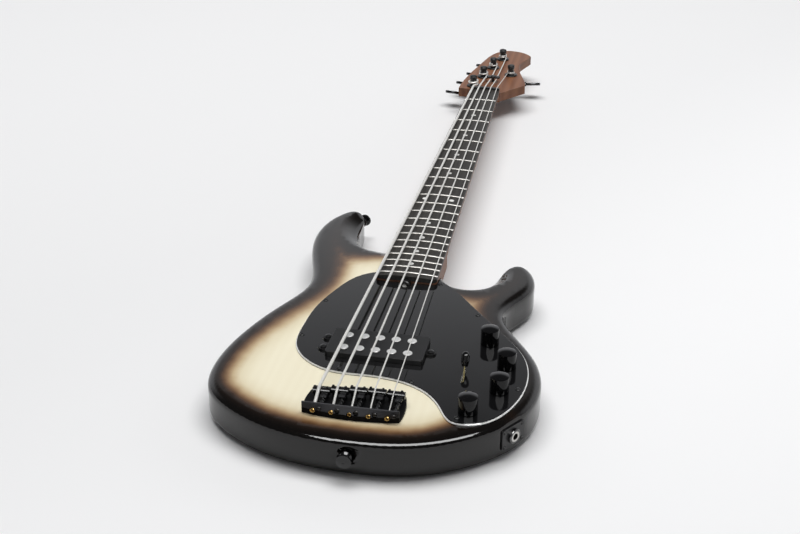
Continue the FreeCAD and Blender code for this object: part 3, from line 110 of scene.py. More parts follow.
# Pale floor whose colour is painted paler towards the front right, a painted fall-off of light, in a dim
# room with a bright far wall.
# The softbox overhead gives the light, the panel above the camera the gleam. Sizes in metres
studio = {
    "floorSize": 60.0,
    "floorDrop": 0.3,  # mm below the part
    # painted shade and painted light on the floor: darker colour at the back left, paler at the front
    # right
    "floorPaintedShade": (0.85, 0.85, 0.853),
    "floorPaintedLight": (0.95, 0.95, 0.953),
    "paintedLightWay": (0.82, -0.57, 0.0),
    "paintedLightReach": (-0.45, 0.2),
    "floorMottle": 0.985,
    "mottleScale": 0.6,
    "floorRough": 0.8,
    "floorShine": 0.1,
    "roomDim": (0.09, 0.09, 0.093),
    "farWall": (0.92, 0.93, 0.96),
    "wallHeights": (0.375, 0.64),
    "wallDepths": (0.0, 0.6),
    "lamps": (  # name, place, target, width, height, power, purpose
        ("softbox", (0.0, 1.2, 4.6), (0.0, 0.45, 0.0), 5.5, 2.4, 235.0, "light"),
        ("frontPanel", (1.2, -3.3, 3.6), (0.0, 0.0, 0.0), 8.0, 1.9, 620.0, "gleam"),
    ),
}


def addNode(tree, kind, **values):
    node = tree.nodes.new(kind)
    for key, value in values.items():
        setattr(node, key, value)
    return node


def setInputs(node, **values):
    for key, value in values.items():
        node.inputs[key.replace("_", " ")].default_value = value
    return node


def startMaterial(name):
    material = bpy.data.materials.new(name)
    material.use_nodes = True
    return material, material.node_tree, material.node_tree.nodes["Principled BSDF"]


def mixColour(tree, mask, a, b):
    mix = addNode(tree, "ShaderNodeMix", data_type="RGBA")
    tree.links.new(mask, mix.inputs["Factor"])
    for port, value in (("A", a), ("B", b)):
        if isinstance(value, bpy.types.NodeSocket):
            tree.links.new(value, mix.inputs[port])
        else:
            mix.inputs[port].default_value = (*value[:3], 1)
    return mix.outputs["Result"]


def smoothStep(tree, value, limits, start, end):
    step = addNode(tree, "ShaderNodeMapRange", interpolation_type="SMOOTHSTEP")
    setInputs(step, From_Min=limits[0], From_Max=limits[1], To_Min=start, To_Max=end)
    tree.links.new(value, step.inputs["Value"])
    return step.outputs["Result"]


def mathNode(tree, operation, a, b):
    node = addNode(tree, "ShaderNodeMath", operation=operation)
    for port, value in enumerate((a, b)):
        if isinstance(value, bpy.types.NodeSocket):
            tree.links.new(value, node.inputs[port])
        else:
            node.inputs[port].default_value = value
    return node.outputs["Value"]


def distanceAlong(tree, start, direction):
    # Length in metres along a direction from a point given in mm
    coords = addNode(tree, "ShaderNodeTexCoord")
    dot = addNode(tree, "ShaderNodeVectorMath", operation="DOT_PRODUCT")
    dot.inputs[1].default_value = direction
    tree.links.new(coords.outputs["Object"], dot.inputs[0])
    return mathNode(tree, "SUBTRACT", dot.outputs["Value"], Vector(start).dot(Vector(direction)) * mm)


def buildFloor(spec):
    mesh = bpy.data.meshes.new("floor")
    half = spec["floorSize"] / 2
    level = cadBox[0][2] - spec["floorDrop"] * mm
    corners = [(-half, -half, level), (half, -half, level), (half, half, level), (-half, half, level)]
    mesh.from_pydata(corners, [], [(0, 1, 2, 3)])
    floor = bpy.data.objects.new("floor", mesh)
    scene.collection.objects.link(floor)
    paper, tree, shader = startMaterial("floorPaper")
    noise = setInputs(addNode(tree, "ShaderNodeTexNoise"), Scale=spec["mottleScale"], Detail=2.0)
    coords = addNode(tree, "ShaderNodeTexCoord")
    tree.links.new(coords.outputs["Object"], noise.inputs["Vector"])
    # The floor colour is blended from painted shade at the back left to painted light at the front right,
    # standing in for the lamp's fall-off
    paintedLightShare = smoothStep(tree, distanceAlong(tree, (0, 0, 0), spec["paintedLightWay"]), spec["paintedLightReach"], 0, 1)
    plain = mixColour(tree, paintedLightShare, spec["floorPaintedShade"], spec["floorPaintedLight"])
    duller = [[spec["floorMottle"] * c for c in spec[key]] for key in ("floorPaintedShade", "floorPaintedLight")]
    dull = mixColour(tree, paintedLightShare, *duller)
    tree.links.new(mixColour(tree, noise.outputs["Fac"], plain, dull), shader.inputs["Base Color"])
    shader.inputs["Roughness"].default_value = spec["floorRough"]
    shader.inputs["Specular IOR Level"].default_value = spec["floorShine"]
    mesh.materials.append(paper)


def buildRoom(spec):
    world = bpy.data.worlds.new("room")
    scene.world = world
    world.use_nodes = True
    tree = world.node_tree
    coords = addNode(tree, "ShaderNodeTexCoord")
    parts = addNode(tree, "ShaderNodeSeparateXYZ")
    tree.links.new(coords.outputs["Generated"], parts.inputs["Vector"])
    heights = smoothStep(tree, parts.outputs["Z"], spec["wallHeights"], 1, 0)
    depths = smoothStep(tree, parts.outputs["Y"], spec["wallDepths"], 0, 1)
    wall = mathNode(tree, "MULTIPLY", heights, depths)
    colour = mixColour(tree, wall, spec["roomDim"], spec["farWall"])
    tree.links.new(colour, tree.nodes["Background"].inputs["Color"])


def hangLamps(spec):
    for name, place, target, width, height, power, purpose in spec["lamps"]:
        data = bpy.data.lights.new(name, "AREA")
        data.shape = "RECTANGLE"
        data.size = width
        data.size_y = height
        data.energy = power
        lamp = bpy.data.objects.new(name, data)
        aim = (Vector(target) - Vector(place)).to_track_quat("-Z", "Y")
        lamp.matrix_world = Matrix.Translation(place) @ aim.to_matrix().to_4x4()
        lamp.visible_diffuse = purpose == "light"
        lamp.visible_glossy = purpose == "gleam"
        scene.collection.objects.link(lamp)


buildFloor(studio)
buildRoom(studio)
hangLamps(studio)
print("studio built")


# Shared effects: mottle for mouldings and metals, grain for the woods
patterns = {
    "bumpDepth": 0.2,  # mm
    "ringShare": 0.35,
    "poreShare": 0.35,
    "poreMiddle": 0.17,  # half of what the pores add
}


def newGroup(name, inputs, outputs):
    group = bpy.data.node_groups.new(name, "ShaderNodeTree")
    for label, kind in inputs:
        group.interface.new_socket(label, in_out="INPUT", socket_type=kind)
    for label, kind in outputs:
        group.interface.new_socket(label, in_out="OUTPUT", socket_type=kind)
    return group, addNode(group, "NodeGroupInput"), addNode(group, "NodeGroupOutput")


surfaceInputs = (
    ("Dark", "NodeSocketColor"),
    ("Light", "NodeSocketColor"),
    ("Scale", "NodeSocketFloat"),
    ("Fine", "NodeSocketFloat"),
    ("Stretch", "NodeSocketVector"),
    ("Smoothest", "NodeSocketFloat"),
    ("Roughest", "NodeSocketFloat"),
    ("Bump", "NodeSocketFloat"),
)
surfaceOutputs = (
    ("Colour", "NodeSocketColor"),
    ("Roughness", "NodeSocketFloat"),
    ("Normal", "NodeSocketVector"),
)


def stretchedCoords(group, taken):
    coords = addNode(group, "ShaderNodeTexCoord")
    stretch = addNode(group, "ShaderNodeVectorMath", operation="MULTIPLY")
    group.links.new(coords.outputs["Object"], stretch.inputs[0])
    group.links.new(taken.outputs["Stretch"], stretch.inputs[1])
    return stretch.outputs["Vector"]


def noiseOf(group, vector, scale, detail):
    noise = setInputs(addNode(group, "ShaderNodeTexNoise"), Detail=detail)
    group.links.new(vector, noise.inputs["Vector"])
    group.links.new(scale, noise.inputs["Scale"])
    return noise.outputs["Fac"]


def finishGroup(group, taken, given, colourMask, fineMask):
    colour = mixColour(group, colourMask, taken.outputs["Dark"], taken.outputs["Light"])
    rough = addNode(group, "ShaderNodeMapRange")
    group.links.new(fineMask, rough.inputs["Value"])
    group.links.new(taken.outputs["Smoothest"], rough.inputs["To Min"])
    group.links.new(taken.outputs["Roughest"], rough.inputs["To Max"])
    bump = setInputs(addNode(group, "ShaderNodeBump"), Distance=patterns["bumpDepth"] * mm)
    group.links.new(taken.outputs["Bump"], bump.inputs["Strength"])
    group.links.new(fineMask, bump.inputs["Height"])
    group.links.new(colour, given.inputs["Colour"])
    group.links.new(rough.outputs["Result"], given.inputs["Roughness"])
    group.links.new(bump.outputs["Normal"], given.inputs["Normal"])


def buildMottle():
    group, taken, given = newGroup("mottle", surfaceInputs, surfaceOutputs)
    vector = stretchedCoords(group, taken)
    broad = noiseOf(group, vector, taken.outputs["Scale"], 3.0)
    fine = noiseOf(group, vector, taken.outputs["Fine"], 2.0)
    finishGroup(group, taken, given, broad, fine)
    return group


def buildGrain():
    group, taken, given = newGroup("woodGrain", surfaceInputs, surfaceOutputs)
    vector = stretchedCoords(group, taken)
    figure = noiseOf(group, vector, taken.outputs["Scale"], 4.0)
    wave = addNode(group, "ShaderNodeTexWave", bands_direction="X")
    setInputs(wave, Distortion=6.0, Detail=3.0)
    group.links.new(vector, wave.inputs["Vector"])
    group.links.new(taken.outputs["Scale"], wave.inputs["Scale"])
    blend = addNode(group, "ShaderNodeMix", data_type="FLOAT")
    blend.inputs["Factor"].default_value = patterns["ringShare"]
    group.links.new(figure, blend.inputs["A"])
    group.links.new(wave.outputs["Fac"], blend.inputs["B"])
    pores = noiseOf(group, vector, taken.outputs["Fine"], 2.0)
    lower = mathNode(group, "SUBTRACT", blend.outputs["Result"], patterns["poreMiddle"])
    streak = addNode(group, "ShaderNodeMath", operation="MULTIPLY_ADD", use_clamp=True)
    streak.inputs[1].default_value = patterns["poreShare"]
    group.links.new(pores, streak.inputs[0])
    group.links.new(lower, streak.inputs[2])
    finishGroup(group, taken, given, streak.outputs["Value"], pores)
    return group


mottle = buildMottle()
woodGrain = buildGrain()


# One entry for each finish: two shades, roughness range, pattern sizes per metre, gloss
finishes = {
    "neckMaple": dict(group=woodGrain, dark=(0.13, 0.045, 0.021), light=(0.28, 0.125, 0.062), scale=26.0,
                      fine=240.0, stretch=(1.0, 0.09, 1.0), rough=(0.38, 0.52), bump=0.12, shine=0.25),
    "ebony": dict(group=woodGrain, dark=(0.008, 0.007, 0.006), light=(0.04, 0.035, 0.029), scale=60.0,
                  fine=600.0, stretch=(1.0, 0.05, 1.0), rough=(0.4, 0.58), bump=0.2, shine=0.35),
    "fretWire": dict(dark=(0.5, 0.49, 0.46), light=(0.64, 0.62, 0.59), metal=0.7, scale=90.0, fine=900.0,
                     stretch=(0.2, 1.0, 1.0), rough=(0.3, 0.4), bump=0.05),
    "dotPearl": dict(dark=(0.74, 0.74, 0.71), light=(0.9, 0.9, 0.87), scale=420.0, fine=800.0,
                     rough=(0.2, 0.32), bump=0.04),
    "nutBlack": dict(dark=(0.008, 0.008, 0.009), light=(0.02, 0.02, 0.022), scale=120.0, fine=900.0,
                     rough=(0.3, 0.45), bump=0.1, shine=0.35),
    "coverBlack": dict(dark=(0.006, 0.006, 0.0065), light=(0.012, 0.012, 0.0125), scale=90.0, fine=1400.0,
                       rough=(0.36, 0.48), bump=0.16, shine=0.3),
    "knobBlack": dict(dark=(0.003, 0.003, 0.0035), light=(0.008, 0.008, 0.0085), scale=60.0, fine=700.0,
                      rough=(0.06, 0.1), bump=0.01, shine=0.28),
    "buttonBlack": dict(dark=(0.004, 0.004, 0.0045), light=(0.01, 0.01, 0.0105), scale=90.0, fine=900.0,
                        rough=(0.1, 0.18), bump=0.02),
    "poleSteel": dict(dark=(0.74, 0.74, 0.73), light=(0.92, 0.92, 0.91), metal=0.45, scale=160.0,
                      fine=900.0, stretch=(1.0, 4.0, 1.0), rough=(0.4, 0.52), bump=0.06),
    "blackHardware": dict(dark=(0.006, 0.006, 0.0065), light=(0.016, 0.016, 0.017), scale=140.0,
                          fine=1500.0, rough=(0.26, 0.4), bump=0.1, shine=0.4),
    "blackChrome": dict(dark=(0.06, 0.06, 0.062), light=(0.12, 0.12, 0.123), metal=1.0, scale=110.0,
                        fine=900.0, rough=(0.14, 0.24), bump=0.04),
    "saddleBlack": dict(dark=(0.006, 0.006, 0.0065), light=(0.014, 0.014, 0.015), scale=140.0, fine=1500.0,
                        rough=(0.16, 0.26), bump=0.06),
    "plainSteel": dict(dark=(0.5, 0.5, 0.5), light=(0.72, 0.72, 0.71), metal=1.0, scale=120.0, fine=800.0,
                       rough=(0.22, 0.36), bump=0.06),
    "brass": dict(dark=(0.22, 0.14, 0.05), light=(0.5, 0.35, 0.14), metal=1.0, scale=420.0, fine=900.0,
                  rough=(0.2, 0.34), bump=0.06),
    "nickel": dict(dark=(0.66, 0.65, 0.62), light=(0.84, 0.83, 0.8), metal=1.0, scale=110.0, fine=900.0,
                   rough=(0.12, 0.22), bump=0.04),
    "coilCopper": dict(dark=(0.3, 0.09, 0.03), light=(0.62, 0.24, 0.09), metal=1.0, scale=200.0,
                       fine=1800.0, stretch=(0.2, 0.2, 6.0), rough=(0.25, 0.4), bump=0.3),
    "batteryCase": dict(dark=(0.02, 0.02, 0.022), light=(0.05, 0.05, 0.055), scale=60.0, fine=700.0,
                        rough=(0.25, 0.35), bump=0.05),
    "boardGreen": dict(dark=(0.012, 0.07, 0.03), light=(0.03, 0.16, 0.07), scale=160.0, fine=700.0,
                       rough=(0.3, 0.42), bump=0.1),
    "boxBlack": dict(dark=(0.008, 0.008, 0.009), light=(0.018, 0.018, 0.02), scale=80.0, fine=1200.0,
                     rough=(0.4, 0.55), bump=0.2, shine=0.35),
}


def placeGroup(tree, spec):
    node = addNode(tree, "ShaderNodeGroup", node_tree=spec.get("group", mottle))
    return setInputs(node, Dark=(*spec["dark"], 1), Light=(*spec["light"], 1), Scale=spec["scale"],
                     Fine=spec["fine"], Stretch=spec.get("stretch", (1, 1, 1)),
                     Smoothest=spec["rough"][0], Roughest=spec["rough"][1], Bump=spec["bump"])


def wireSurface(tree, shader, surface, colour):
    tree.links.new(colour, shader.inputs["Base Color"])
    tree.links.new(surface.outputs["Roughness"], shader.inputs["Roughness"])
    tree.links.new(surface.outputs["Normal"], shader.inputs["Normal"])


def makeFinish(name, spec):
    material, tree, shader = startMaterial(name)
    surface = placeGroup(tree, spec)
    wireSurface(tree, shader, surface, surface.outputs["Colour"])
    shader.inputs["Metallic"].default_value = spec.get("metal", 0.0)
    shader.inputs["Specular IOR Level"].default_value = spec.get("shine", 0.5)
    return material


materials = {name: makeFinish(name, spec) for name, spec in finishes.items()}


def distanceFromAxis(tree, start, direction):
    coords = addNode(tree, "ShaderNodeTexCoord")
    offset = addNode(tree, "ShaderNodeVectorMath", operation="SUBTRACT")
    offset.inputs[1].default_value = Vector(start) * mm
    tree.links.new(coords.outputs["Object"], offset.inputs[0])
    cross = addNode(tree, "ShaderNodeVectorMath", operation="CROSS_PRODUCT")
    cross.inputs[1].default_value = direction
    tree.links.new(offset.outputs["Vector"], cross.inputs[0])
    length = addNode(tree, "ShaderNodeVectorMath", operation="LENGTH")
    tree.links.new(cross.outputs["Vector"], length.inputs[0])
    return length.outputs["Value"]


# Pickguard: glossy black sheet with a white core that shows along its bevelled rim
guardSheet = {
    "surface": dict(dark=(0.004, 0.004, 0.0045), light=(0.007, 0.007, 0.0075), scale=30.0, fine=500.0,
                    rough=(0.04, 0.08), bump=0.01),
    "core": (0.92, 0.92, 0.9),
    "coreHeights": (41.85, 43.45),
}


def makeGuardSheet(spec):
    material, tree, shader = startMaterial("guardBlack")
    surface = placeGroup(tree, spec["surface"])
    low, high = spec["coreHeights"]
    height = distanceAlong(tree, (0, 0, 0), (0, 0, 1))
    above = mathNode(tree, "GREATER_THAN", height, low * mm)
    below = mathNode(tree, "LESS_THAN", height, high * mm)
    core = mathNode(tree, "MULTIPLY", above, below)
    wireSurface(tree, shader, surface, mixColour(tree, core, surface.outputs["Colour"], spec["core"]))
    return material


# Bridge plate: satin black with painted light: a painted highlight, a paler grey, on the sloping top of
# its tail wall, and painted shade, a darker black, below it
bridgeShadeAndLight = {
    # low: darker black below the tail wall's slope, painted shade under the lip and between the saddles
    "low": dict(dark=(0.004, 0.004, 0.0045), light=(0.009, 0.009, 0.0095), scale=140.0, fine=1500.0,
                rough=(0.36, 0.48), bump=0.12),
    # slope: paler grey, a painted highlight on the sloping top of the tail wall
    "slope": (0.06, 0.06, 0.064),
    "paintedLightStart": 46.9,
    "shine": 0.03,
}


def makeBridgePaintedLight(spec):
    material, tree, shader = startMaterial("bridgeBlackPaintedLight")
    surface = placeGroup(tree, spec["low"])
    height = distanceAlong(tree, (0, 0, 0), (0, 0, 1))
    # Above this height the plate is painted paler as if lit; below it, darker as if in shade
    above = mathNode(tree, "GREATER_THAN", height, spec["paintedLightStart"] * mm)
    wireSurface(tree, shader, surface, mixColour(tree, above, surface.outputs["Colour"], spec["slope"]))
    shader.inputs["Specular IOR Level"].default_value = spec["shine"]
    return material


# Switch lever: aged brass blade with a black tip
leverParts = {
    "pivot": (92.6, 53.5, 34.3),
    "tilt": 26.0,
    "tipStart": 17.9,
    "blade": dict(dark=(0.34, 0.28, 0.12), light=(0.6, 0.52, 0.28), scale=240.0, fine=900.0,
                  rough=(0.14, 0.24), bump=0.06),
    "tip": (0.004, 0.004, 0.0045),
}


def makeLeverFinish(spec):
    material, tree, shader = startMaterial("leverBrass")
    surface = placeGroup(tree, spec["blade"])
    tilt = math.radians(spec["tilt"])
    along = distanceAlong(tree, spec["pivot"], (0, math.sin(tilt), math.cos(tilt)))
    tip = mathNode(tree, "GREATER_THAN", along, spec["tipStart"] * mm)
    wireSurface(tree, shader, surface, mixColour(tree, tip, surface.outputs["Colour"], spec["tip"]))
    tree.links.new(mathNode(tree, "SUBTRACT", 1.0, tip), shader.inputs["Metallic"])
    return material


# Output jack: bright barrel in the middle of a dark nut
jack = {
    "place": (147.9, -2.0, 20.65),
    "turn": -34.5,
    "barrel": 5.3,
    "bright": dict(dark=(0.4, 0.39, 0.37), light=(0.62, 0.61, 0.58), scale=210.0, fine=900.0,
                   rough=(0.14, 0.24), bump=0.04),
    "nut": (0.1, 0.1, 0.1),
}


def jackOut():
    turn = math.radians(jack["turn"])
    return Vector((math.cos(turn), math.sin(turn), 0))


def makeJackFinish(spec):
    material, tree, shader = startMaterial("jackNickel")
    surface = placeGroup(tree, spec["bright"])
    radius = distanceFromAxis(tree, spec["place"], jackOut())
    outside = mathNode(tree, "GREATER_THAN", radius, spec["barrel"] * mm)
    wireSurface(tree, shader, surface, mixColour(tree, outside, surface.outputs["Colour"], spec["nut"]))
    shader.inputs["Metallic"].default_value = 1.0
    return material


materials["guardBlack"] = makeGuardSheet(guardSheet)
materials["bridgeBlackPaintedLight"] = makeBridgePaintedLight(bridgeShadeAndLight)
materials["leverBrass"] = makeLeverFinish(leverParts)
materials["jackNickel"] = makeJackFinish(jack)
print("finishes made")


# Burst finish on the body: shades by the distance in from the outline, in mm, which
# counts for more towards the tail and for less on the horns
burst = {
    "reach": 70.0,
    "grid": 7.0,
    "edgeHeight": 9.0,
    "topHeight": 41.3,
    "tailWeight": (0.0, 1.33),
    "hornWeight": (330.0, 0.5),
    "neckSides": (25.0, 80.0),
    "trebleSide": (70.0, 115.0, 0.5),
    "stops": (
        (0.0, (0.003, 0.0025, 0.002)),
        (14.0, (0.006, 0.004, 0.003)),
        (20.0, (0.06, 0.027, 0.012)),
        (26.0, (0.25, 0.135, 0.062)),
        (33.0, (0.56, 0.42, 0.24)),
        (42.0, (0.82, 0.74, 0.53)),
        (60.0, (0.93, 0.87, 0.67)),
    ),
    "sprayScale": 55.0,
    "spread": 3.0,
    "figure": dict(group=woodGrain, dark=(0.86, 0.82, 0.76), light=(1, 1, 1), scale=30.0, fine=220.0,
                   stretch=(1.0, 0.08, 1.0), rough=(0.05, 0.1), bump=0.0),
    "figureShare": 0.3,
    "shine": 0.45,
    "topSkin": 0.1,
    "sharpAngle": 32.0,
}


def makeBurst(spec):
    material, tree, shader = startMaterial("bodyBurst")
    inset = addNode(tree, "ShaderNodeAttribute", attribute_name="inset")
    coords = addNode(tree, "ShaderNodeTexCoord")
    spray = setInputs(addNode(tree, "ShaderNodeTexNoise"), Scale=spec["sprayScale"], Detail=4.0)
    tree.links.new(coords.outputs["Object"], spray.inputs["Vector"])
    drift = addNode(tree, "ShaderNodeMapRange")
    setInputs(drift, To_Min=-spec["spread"] * mm, To_Max=spec["spread"] * mm)
    tree.links.new(spray.outputs["Fac"], drift.inputs["Value"])
    total = mathNode(tree, "ADD", inset.outputs["Fac"], drift.outputs["Result"])
    ramp = addNode(tree, "ShaderNodeValToRGB")
    ramp.color_ramp.interpolation = "B_SPLINE"
    stops = ramp.color_ramp.elements
    while len(stops) < len(spec["stops"]):
        stops.new(1.0)
    for stop, (distance, shade) in zip(stops, spec["stops"]):
        stop.position = distance / spec["reach"]
        stop.color = (*shade, 1)
    tree.links.new(mathNode(tree, "DIVIDE", total, spec["reach"] * mm), ramp.inputs["Fac"])
    figure = placeGroup(tree, spec["figure"])
    grained = addNode(tree, "ShaderNodeMix", data_type="RGBA", blend_type="MULTIPLY")
    grained.inputs["Factor"].default_value = spec["figureShare"]
    tree.links.new(ramp.outputs["Color"], grained.inputs["A"])
    tree.links.new(figure.outputs["Colour"], grained.inputs["B"])
    tree.links.new(grained.outputs["Result"], shader.inputs["Base Color"])
    tree.links.new(figure.outputs["Roughness"], shader.inputs["Roughness"])
    shader.inputs["Specular IOR Level"].default_value = spec["shine"]
    return material


def addPiece(name, mesh, material):
    mesh.materials.clear()
    mesh.materials.append(material)
    piece = bpy.data.objects.new(name, mesh)
    scene.collection.objects.link(piece)
    return piece


def smoothMesh(name, work, sharpAngle):
    for face in work.faces:
        face.smooth = True
    mesh = bpy.data.meshes.new(name)
    work.to_mesh(mesh)
    work.free()
    mesh.set_sharp_from_angle(angle=math.radians(sharpAngle))
    return mesh


def cutIntoGrid(work, spec):
    level = (spec["topHeight"] - spec["topSkin"]) * mm
    top = [f for f in work.faces if f.normal.z > 0.999 and f.calc_center_median().z > level]
    low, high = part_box("body")
    step = spec["grid"] * mm
    for axis, normal in ((0, Vector((1, 0, 0))), (1, Vector((0, 1, 0)))):
        for k in range(1, math.ceil((high[axis] - low[axis]) / step)):
            edges = {e for f in top for e in f.edges}
            corners = {v for f in top for v in f.verts}
            geometry = [*top, *edges, *corners]
            place = normal * (low[axis] + k * step)
            cut = bmesh.ops.bisect_plane(work, geom=geometry, dist=1e-7, plane_co=place, plane_no=normal)
            top = [g for g in cut["geom"] if isinstance(g, bmesh.types.BMFace)]


def outlineTree(work, spec):
    level = spec["edgeHeight"] * mm
    ring = [e for e in work.edges if all(abs(v.co.z - level) < 2e-5 for v in e.verts)]
    points = []
    for edge in ring:
        a, b = (v.co for v in edge.verts)
        count = max(1, math.ceil((b - a).length / mm))
        points += [a.lerp(b, i / count) for i in range(count)]
    tree = KDTree(len(points))
    for index, point in enumerate(points):
        tree.insert((point.x, point.y, 0), index)
    tree.balance()
    return tree


def burstWeight(place, spec):
    (tailY, tail), (hornY, horn) = spec["tailWeight"], spec["hornWeight"]
    near, far = spec["neckSides"]
    along = min(max((place.y / mm - tailY) / (hornY - tailY), 0), 1)
    aside = min(max((abs(place.x) / mm - near) / (far - near), 0), 1)
    start, end, least = spec["trebleSide"]
    treble = min(max((place.x / mm - start) / (end - start), 0), 1)
    return (tail + (horn - tail) * along * aside) * (1 + (least - 1) * treble * (1 - along))


def makeBody(spec):
    work = bmesh.new()
    work.from_mesh(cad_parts["body"].data)
    bmesh.ops.remove_doubles(work, verts=work.verts, dist=1e-6)
    work.normal_update()
    outline = outlineTree(work, spec)
    cutIntoGrid(work, spec)
    inset = work.verts.layers.float.new("inset")
    sideTop = (spec["topHeight"] - spec["edgeHeight"]) * mm
    for vertex in work.verts:
        if vertex.co.z > sideTop:
            distance = outline.find((vertex.co.x, vertex.co.y, 0))[2]
            vertex[inset] = distance * burstWeight(vertex.co, spec)
    mesh = smoothMesh("bodyFinish", work, spec["sharpAngle"])
    piece = addPiece("bodyFinish", mesh, makeBurst(spec))
    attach(piece, "frame")
    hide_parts("body")


makeBody(burst)
print("body finished")


# Tubes along a path, for the strings and the springs
def newGeometryTree(name, inputs):
    tree = bpy.data.node_groups.new(name, "GeometryNodeTree")
    for label, kind in (("Geometry", "NodeSocketGeometry"), *inputs, ("Finish", "NodeSocketMaterial")):
        tree.interface.new_socket(label, in_out="INPUT", socket_type=kind)
    tree.interface.new_socket("Geometry", in_out="OUTPUT", socket_type="NodeSocketGeometry")
    return tree, addNode(tree, "NodeGroupInput"), addNode(tree, "NodeGroupOutput")


def endTree(tree, taken, given, geometry):
    whole = addNode(tree, "GeometryNodeRealizeInstances")
    paint = addNode(tree, "GeometryNodeSetMaterial")
    tree.links.new(geometry, whole.inputs["Geometry"])
    tree.links.new(whole.outputs["Geometry"], paint.inputs["Geometry"])
    tree.links.new(taken.outputs["Finish"], paint.inputs["Material"])
    tree.links.new(paint.outputs["Geometry"], given.inputs["Geometry"])
    return tree


def buildTubeTree():
    inputs = (("Radius", "NodeSocketFloat"), ("Sides", "NodeSocketInt"))
    tree, taken, given = newGeometryTree("tubeOnPath", inputs)
    curve = addNode(tree, "GeometryNodeMeshToCurve")
    along = addNode(tree, "GeometryNodeSplineParameter")
    store = addNode(tree, "GeometryNodeStoreNamedAttribute", data_type="FLOAT", domain="POINT")
    store.inputs["Name"].default_value = "along"
    ring = addNode(tree, "GeometryNodeCurvePrimitiveCircle")
    tube = addNode(tree, "GeometryNodeCurveToMesh")
    tube.inputs["Fill Caps"].default_value = True
    smooth = addNode(tree, "GeometryNodeSetShadeSmooth")
    tree.links.new(taken.outputs["Geometry"], curve.inputs["Mesh"])
    tree.links.new(curve.outputs["Curve"], store.inputs["Geometry"])
    tree.links.new(along.outputs["Length"], store.inputs["Value"])
    tree.links.new(store.outputs["Geometry"], tube.inputs["Curve"])
    tree.links.new(taken.outputs["Sides"], ring.inputs["Resolution"])
    tree.links.new(taken.outputs["Radius"], ring.inputs["Radius"])
    tree.links.new(ring.outputs["Curve"], tube.inputs["Profile Curve"])
    tree.links.new(tube.outputs["Mesh"], smooth.inputs["Geometry"])
    return endTree(tree, taken, given, smooth.outputs["Geometry"])


def evaluated(name, mesh, tree, values):
    # The plain mesh that a tree makes of a starting mesh, with the tree's inputs set by name
    start = bpy.data.objects.new(name + "Start", mesh)
    scene.collection.objects.link(start)
    modifier = start.modifiers.new("nodes", "NODES")
    modifier.node_group = tree
    sockets = {s.name: s.identifier for s in tree.interface.items_tree if s.in_out == "INPUT"}
    for label, value in values.items():
        modifier[sockets[label]] = value
    bpy.context.view_layer.update()
    result = bpy.data.meshes.new_from_object(start.evaluated_get(bpy.context.evaluated_depsgraph_get()))
    result.name = name
    start.modifiers.remove(modifier)
    bpy.data.objects.remove(start)
    return result


tubeTree = buildTubeTree()


def makeTube(name, points, radius, sides, material):
    path = bpy.data.meshes.new(name + "Path")
    path.from_pydata([p * mm for p in points], [(i, i + 1) for i in range(len(points) - 1)], [])
    mesh = evaluated(name, path, tubeTree, {"Radius": radius * mm, "Sides": sides, "Finish": material})
    return addPiece(name, mesh, material)


# Strings from the ball ends over saddles and nut to the posts, bass side first
strings = {
    "scaleLength": 863.6,
    "gauges": (3.3, 2.54, 2.03, 1.65, 1.14),
    "bridgeSpacing": 17.7,
    "nutSpacing": 9.0,
    "setbacks": (9.2, 7.8, 6.0, 4.2, 2.4),
    "boardRadius": 279.4,
    "saddleTop": 56.5,
    "nutTop": 53.7,
    "nutBack": 5.3,
    "holeHeight": 46.5,
    "wallInner": -32.5,
    "ballSeat": 1.5,
    "lead": 2.5,
    "bendRadius": 6.0,
    "bendSteps": 5,
    "treeStrings": (2, 3),
    "treeFront": 62.5,
    "treeHeight": 47.0,
    "posts": ((-23.6, 39.5, -1), (-14.0, 86.1, -1), (-4.4, 132.7, -1), (5.2, 179.3, -1), (28.0, 102.0, 1)),
    "postRadius": 4.6,
    "washerTop": 44.2,
    "wrapTurns": (1.25, 1.5, 1.75, 2.25, 2.25),
    "wrapGap": 0.45,
    "wrapClearance": 0.3,
    "wrapLead": 5.0,
    "pointsPerTurn": 28,
    "sides": 16,
    "slideReach": 60.0,
    "windingPitch": (0.62, 0.54, 0.46, 0.4, 0.34),
    "winding": dict(dark=(0.74, 0.73, 0.7), light=(0.9, 0.89, 0.85), scale=70.0, fine=500.0,
                    rough=(0.36, 0.46), bump=0.0),
    "windingBump": 0.2,
    "windingDepth": 0.1,
    "metal": 0.4,
}


def makeWoundFinish(name, pitch, spec):
    material, tree, shader = startMaterial(name)
    surface = placeGroup(tree, spec["winding"])
    along = addNode(tree, "ShaderNodeAttribute", attribute_name="along")
    angle = mathNode(tree, "MULTIPLY", along.outputs["Fac"], 2 * math.pi / (pitch * mm))
    wave = addNode(tree, "ShaderNodeMath", operation="SINE")
    tree.links.new(angle, wave.inputs[0])
    bump = addNode(tree, "ShaderNodeBump")
    setInputs(bump, Strength=spec["windingBump"], Distance=spec["windingDepth"] * mm)
    tree.links.new(wave.outputs["Value"], bump.inputs["Height"])
    tree.links.new(surface.outputs["Colour"], shader.inputs["Base Color"])
    tree.links.new(surface.outputs["Roughness"], shader.inputs["Roughness"])
    tree.links.new(bump.outputs["Normal"], shader.inputs["Normal"])
    shader.inputs["Metallic"].default_value = spec["metal"]
    return material


def acrossStrings(k, spacing):
    return (k - len(strings["gauges"]) // 2) * spacing


def camber(x):
    radius = strings["boardRadius"]
    return radius - math.sqrt(radius * radius - x * x)


def bent(before, corner, after, spec):
    # Points of the arc that a string takes round a corner
    inward = (corner - before).normalized()
    outward = (after - corner).normalized()
    turn = inward.angle(outward)
    radius = spec["bendRadius"]
    side = (outward - inward * math.cos(turn)) / math.sin(turn)
    entry = corner - inward * (radius * math.tan(turn / 2))
    points = []
    for i in range(spec["bendSteps"] + 1):
        angle = turn * i / spec["bendSteps"]
        points.append(entry + (inward * math.sin(angle) + side * (1 - math.cos(angle))) * radius)
    return points


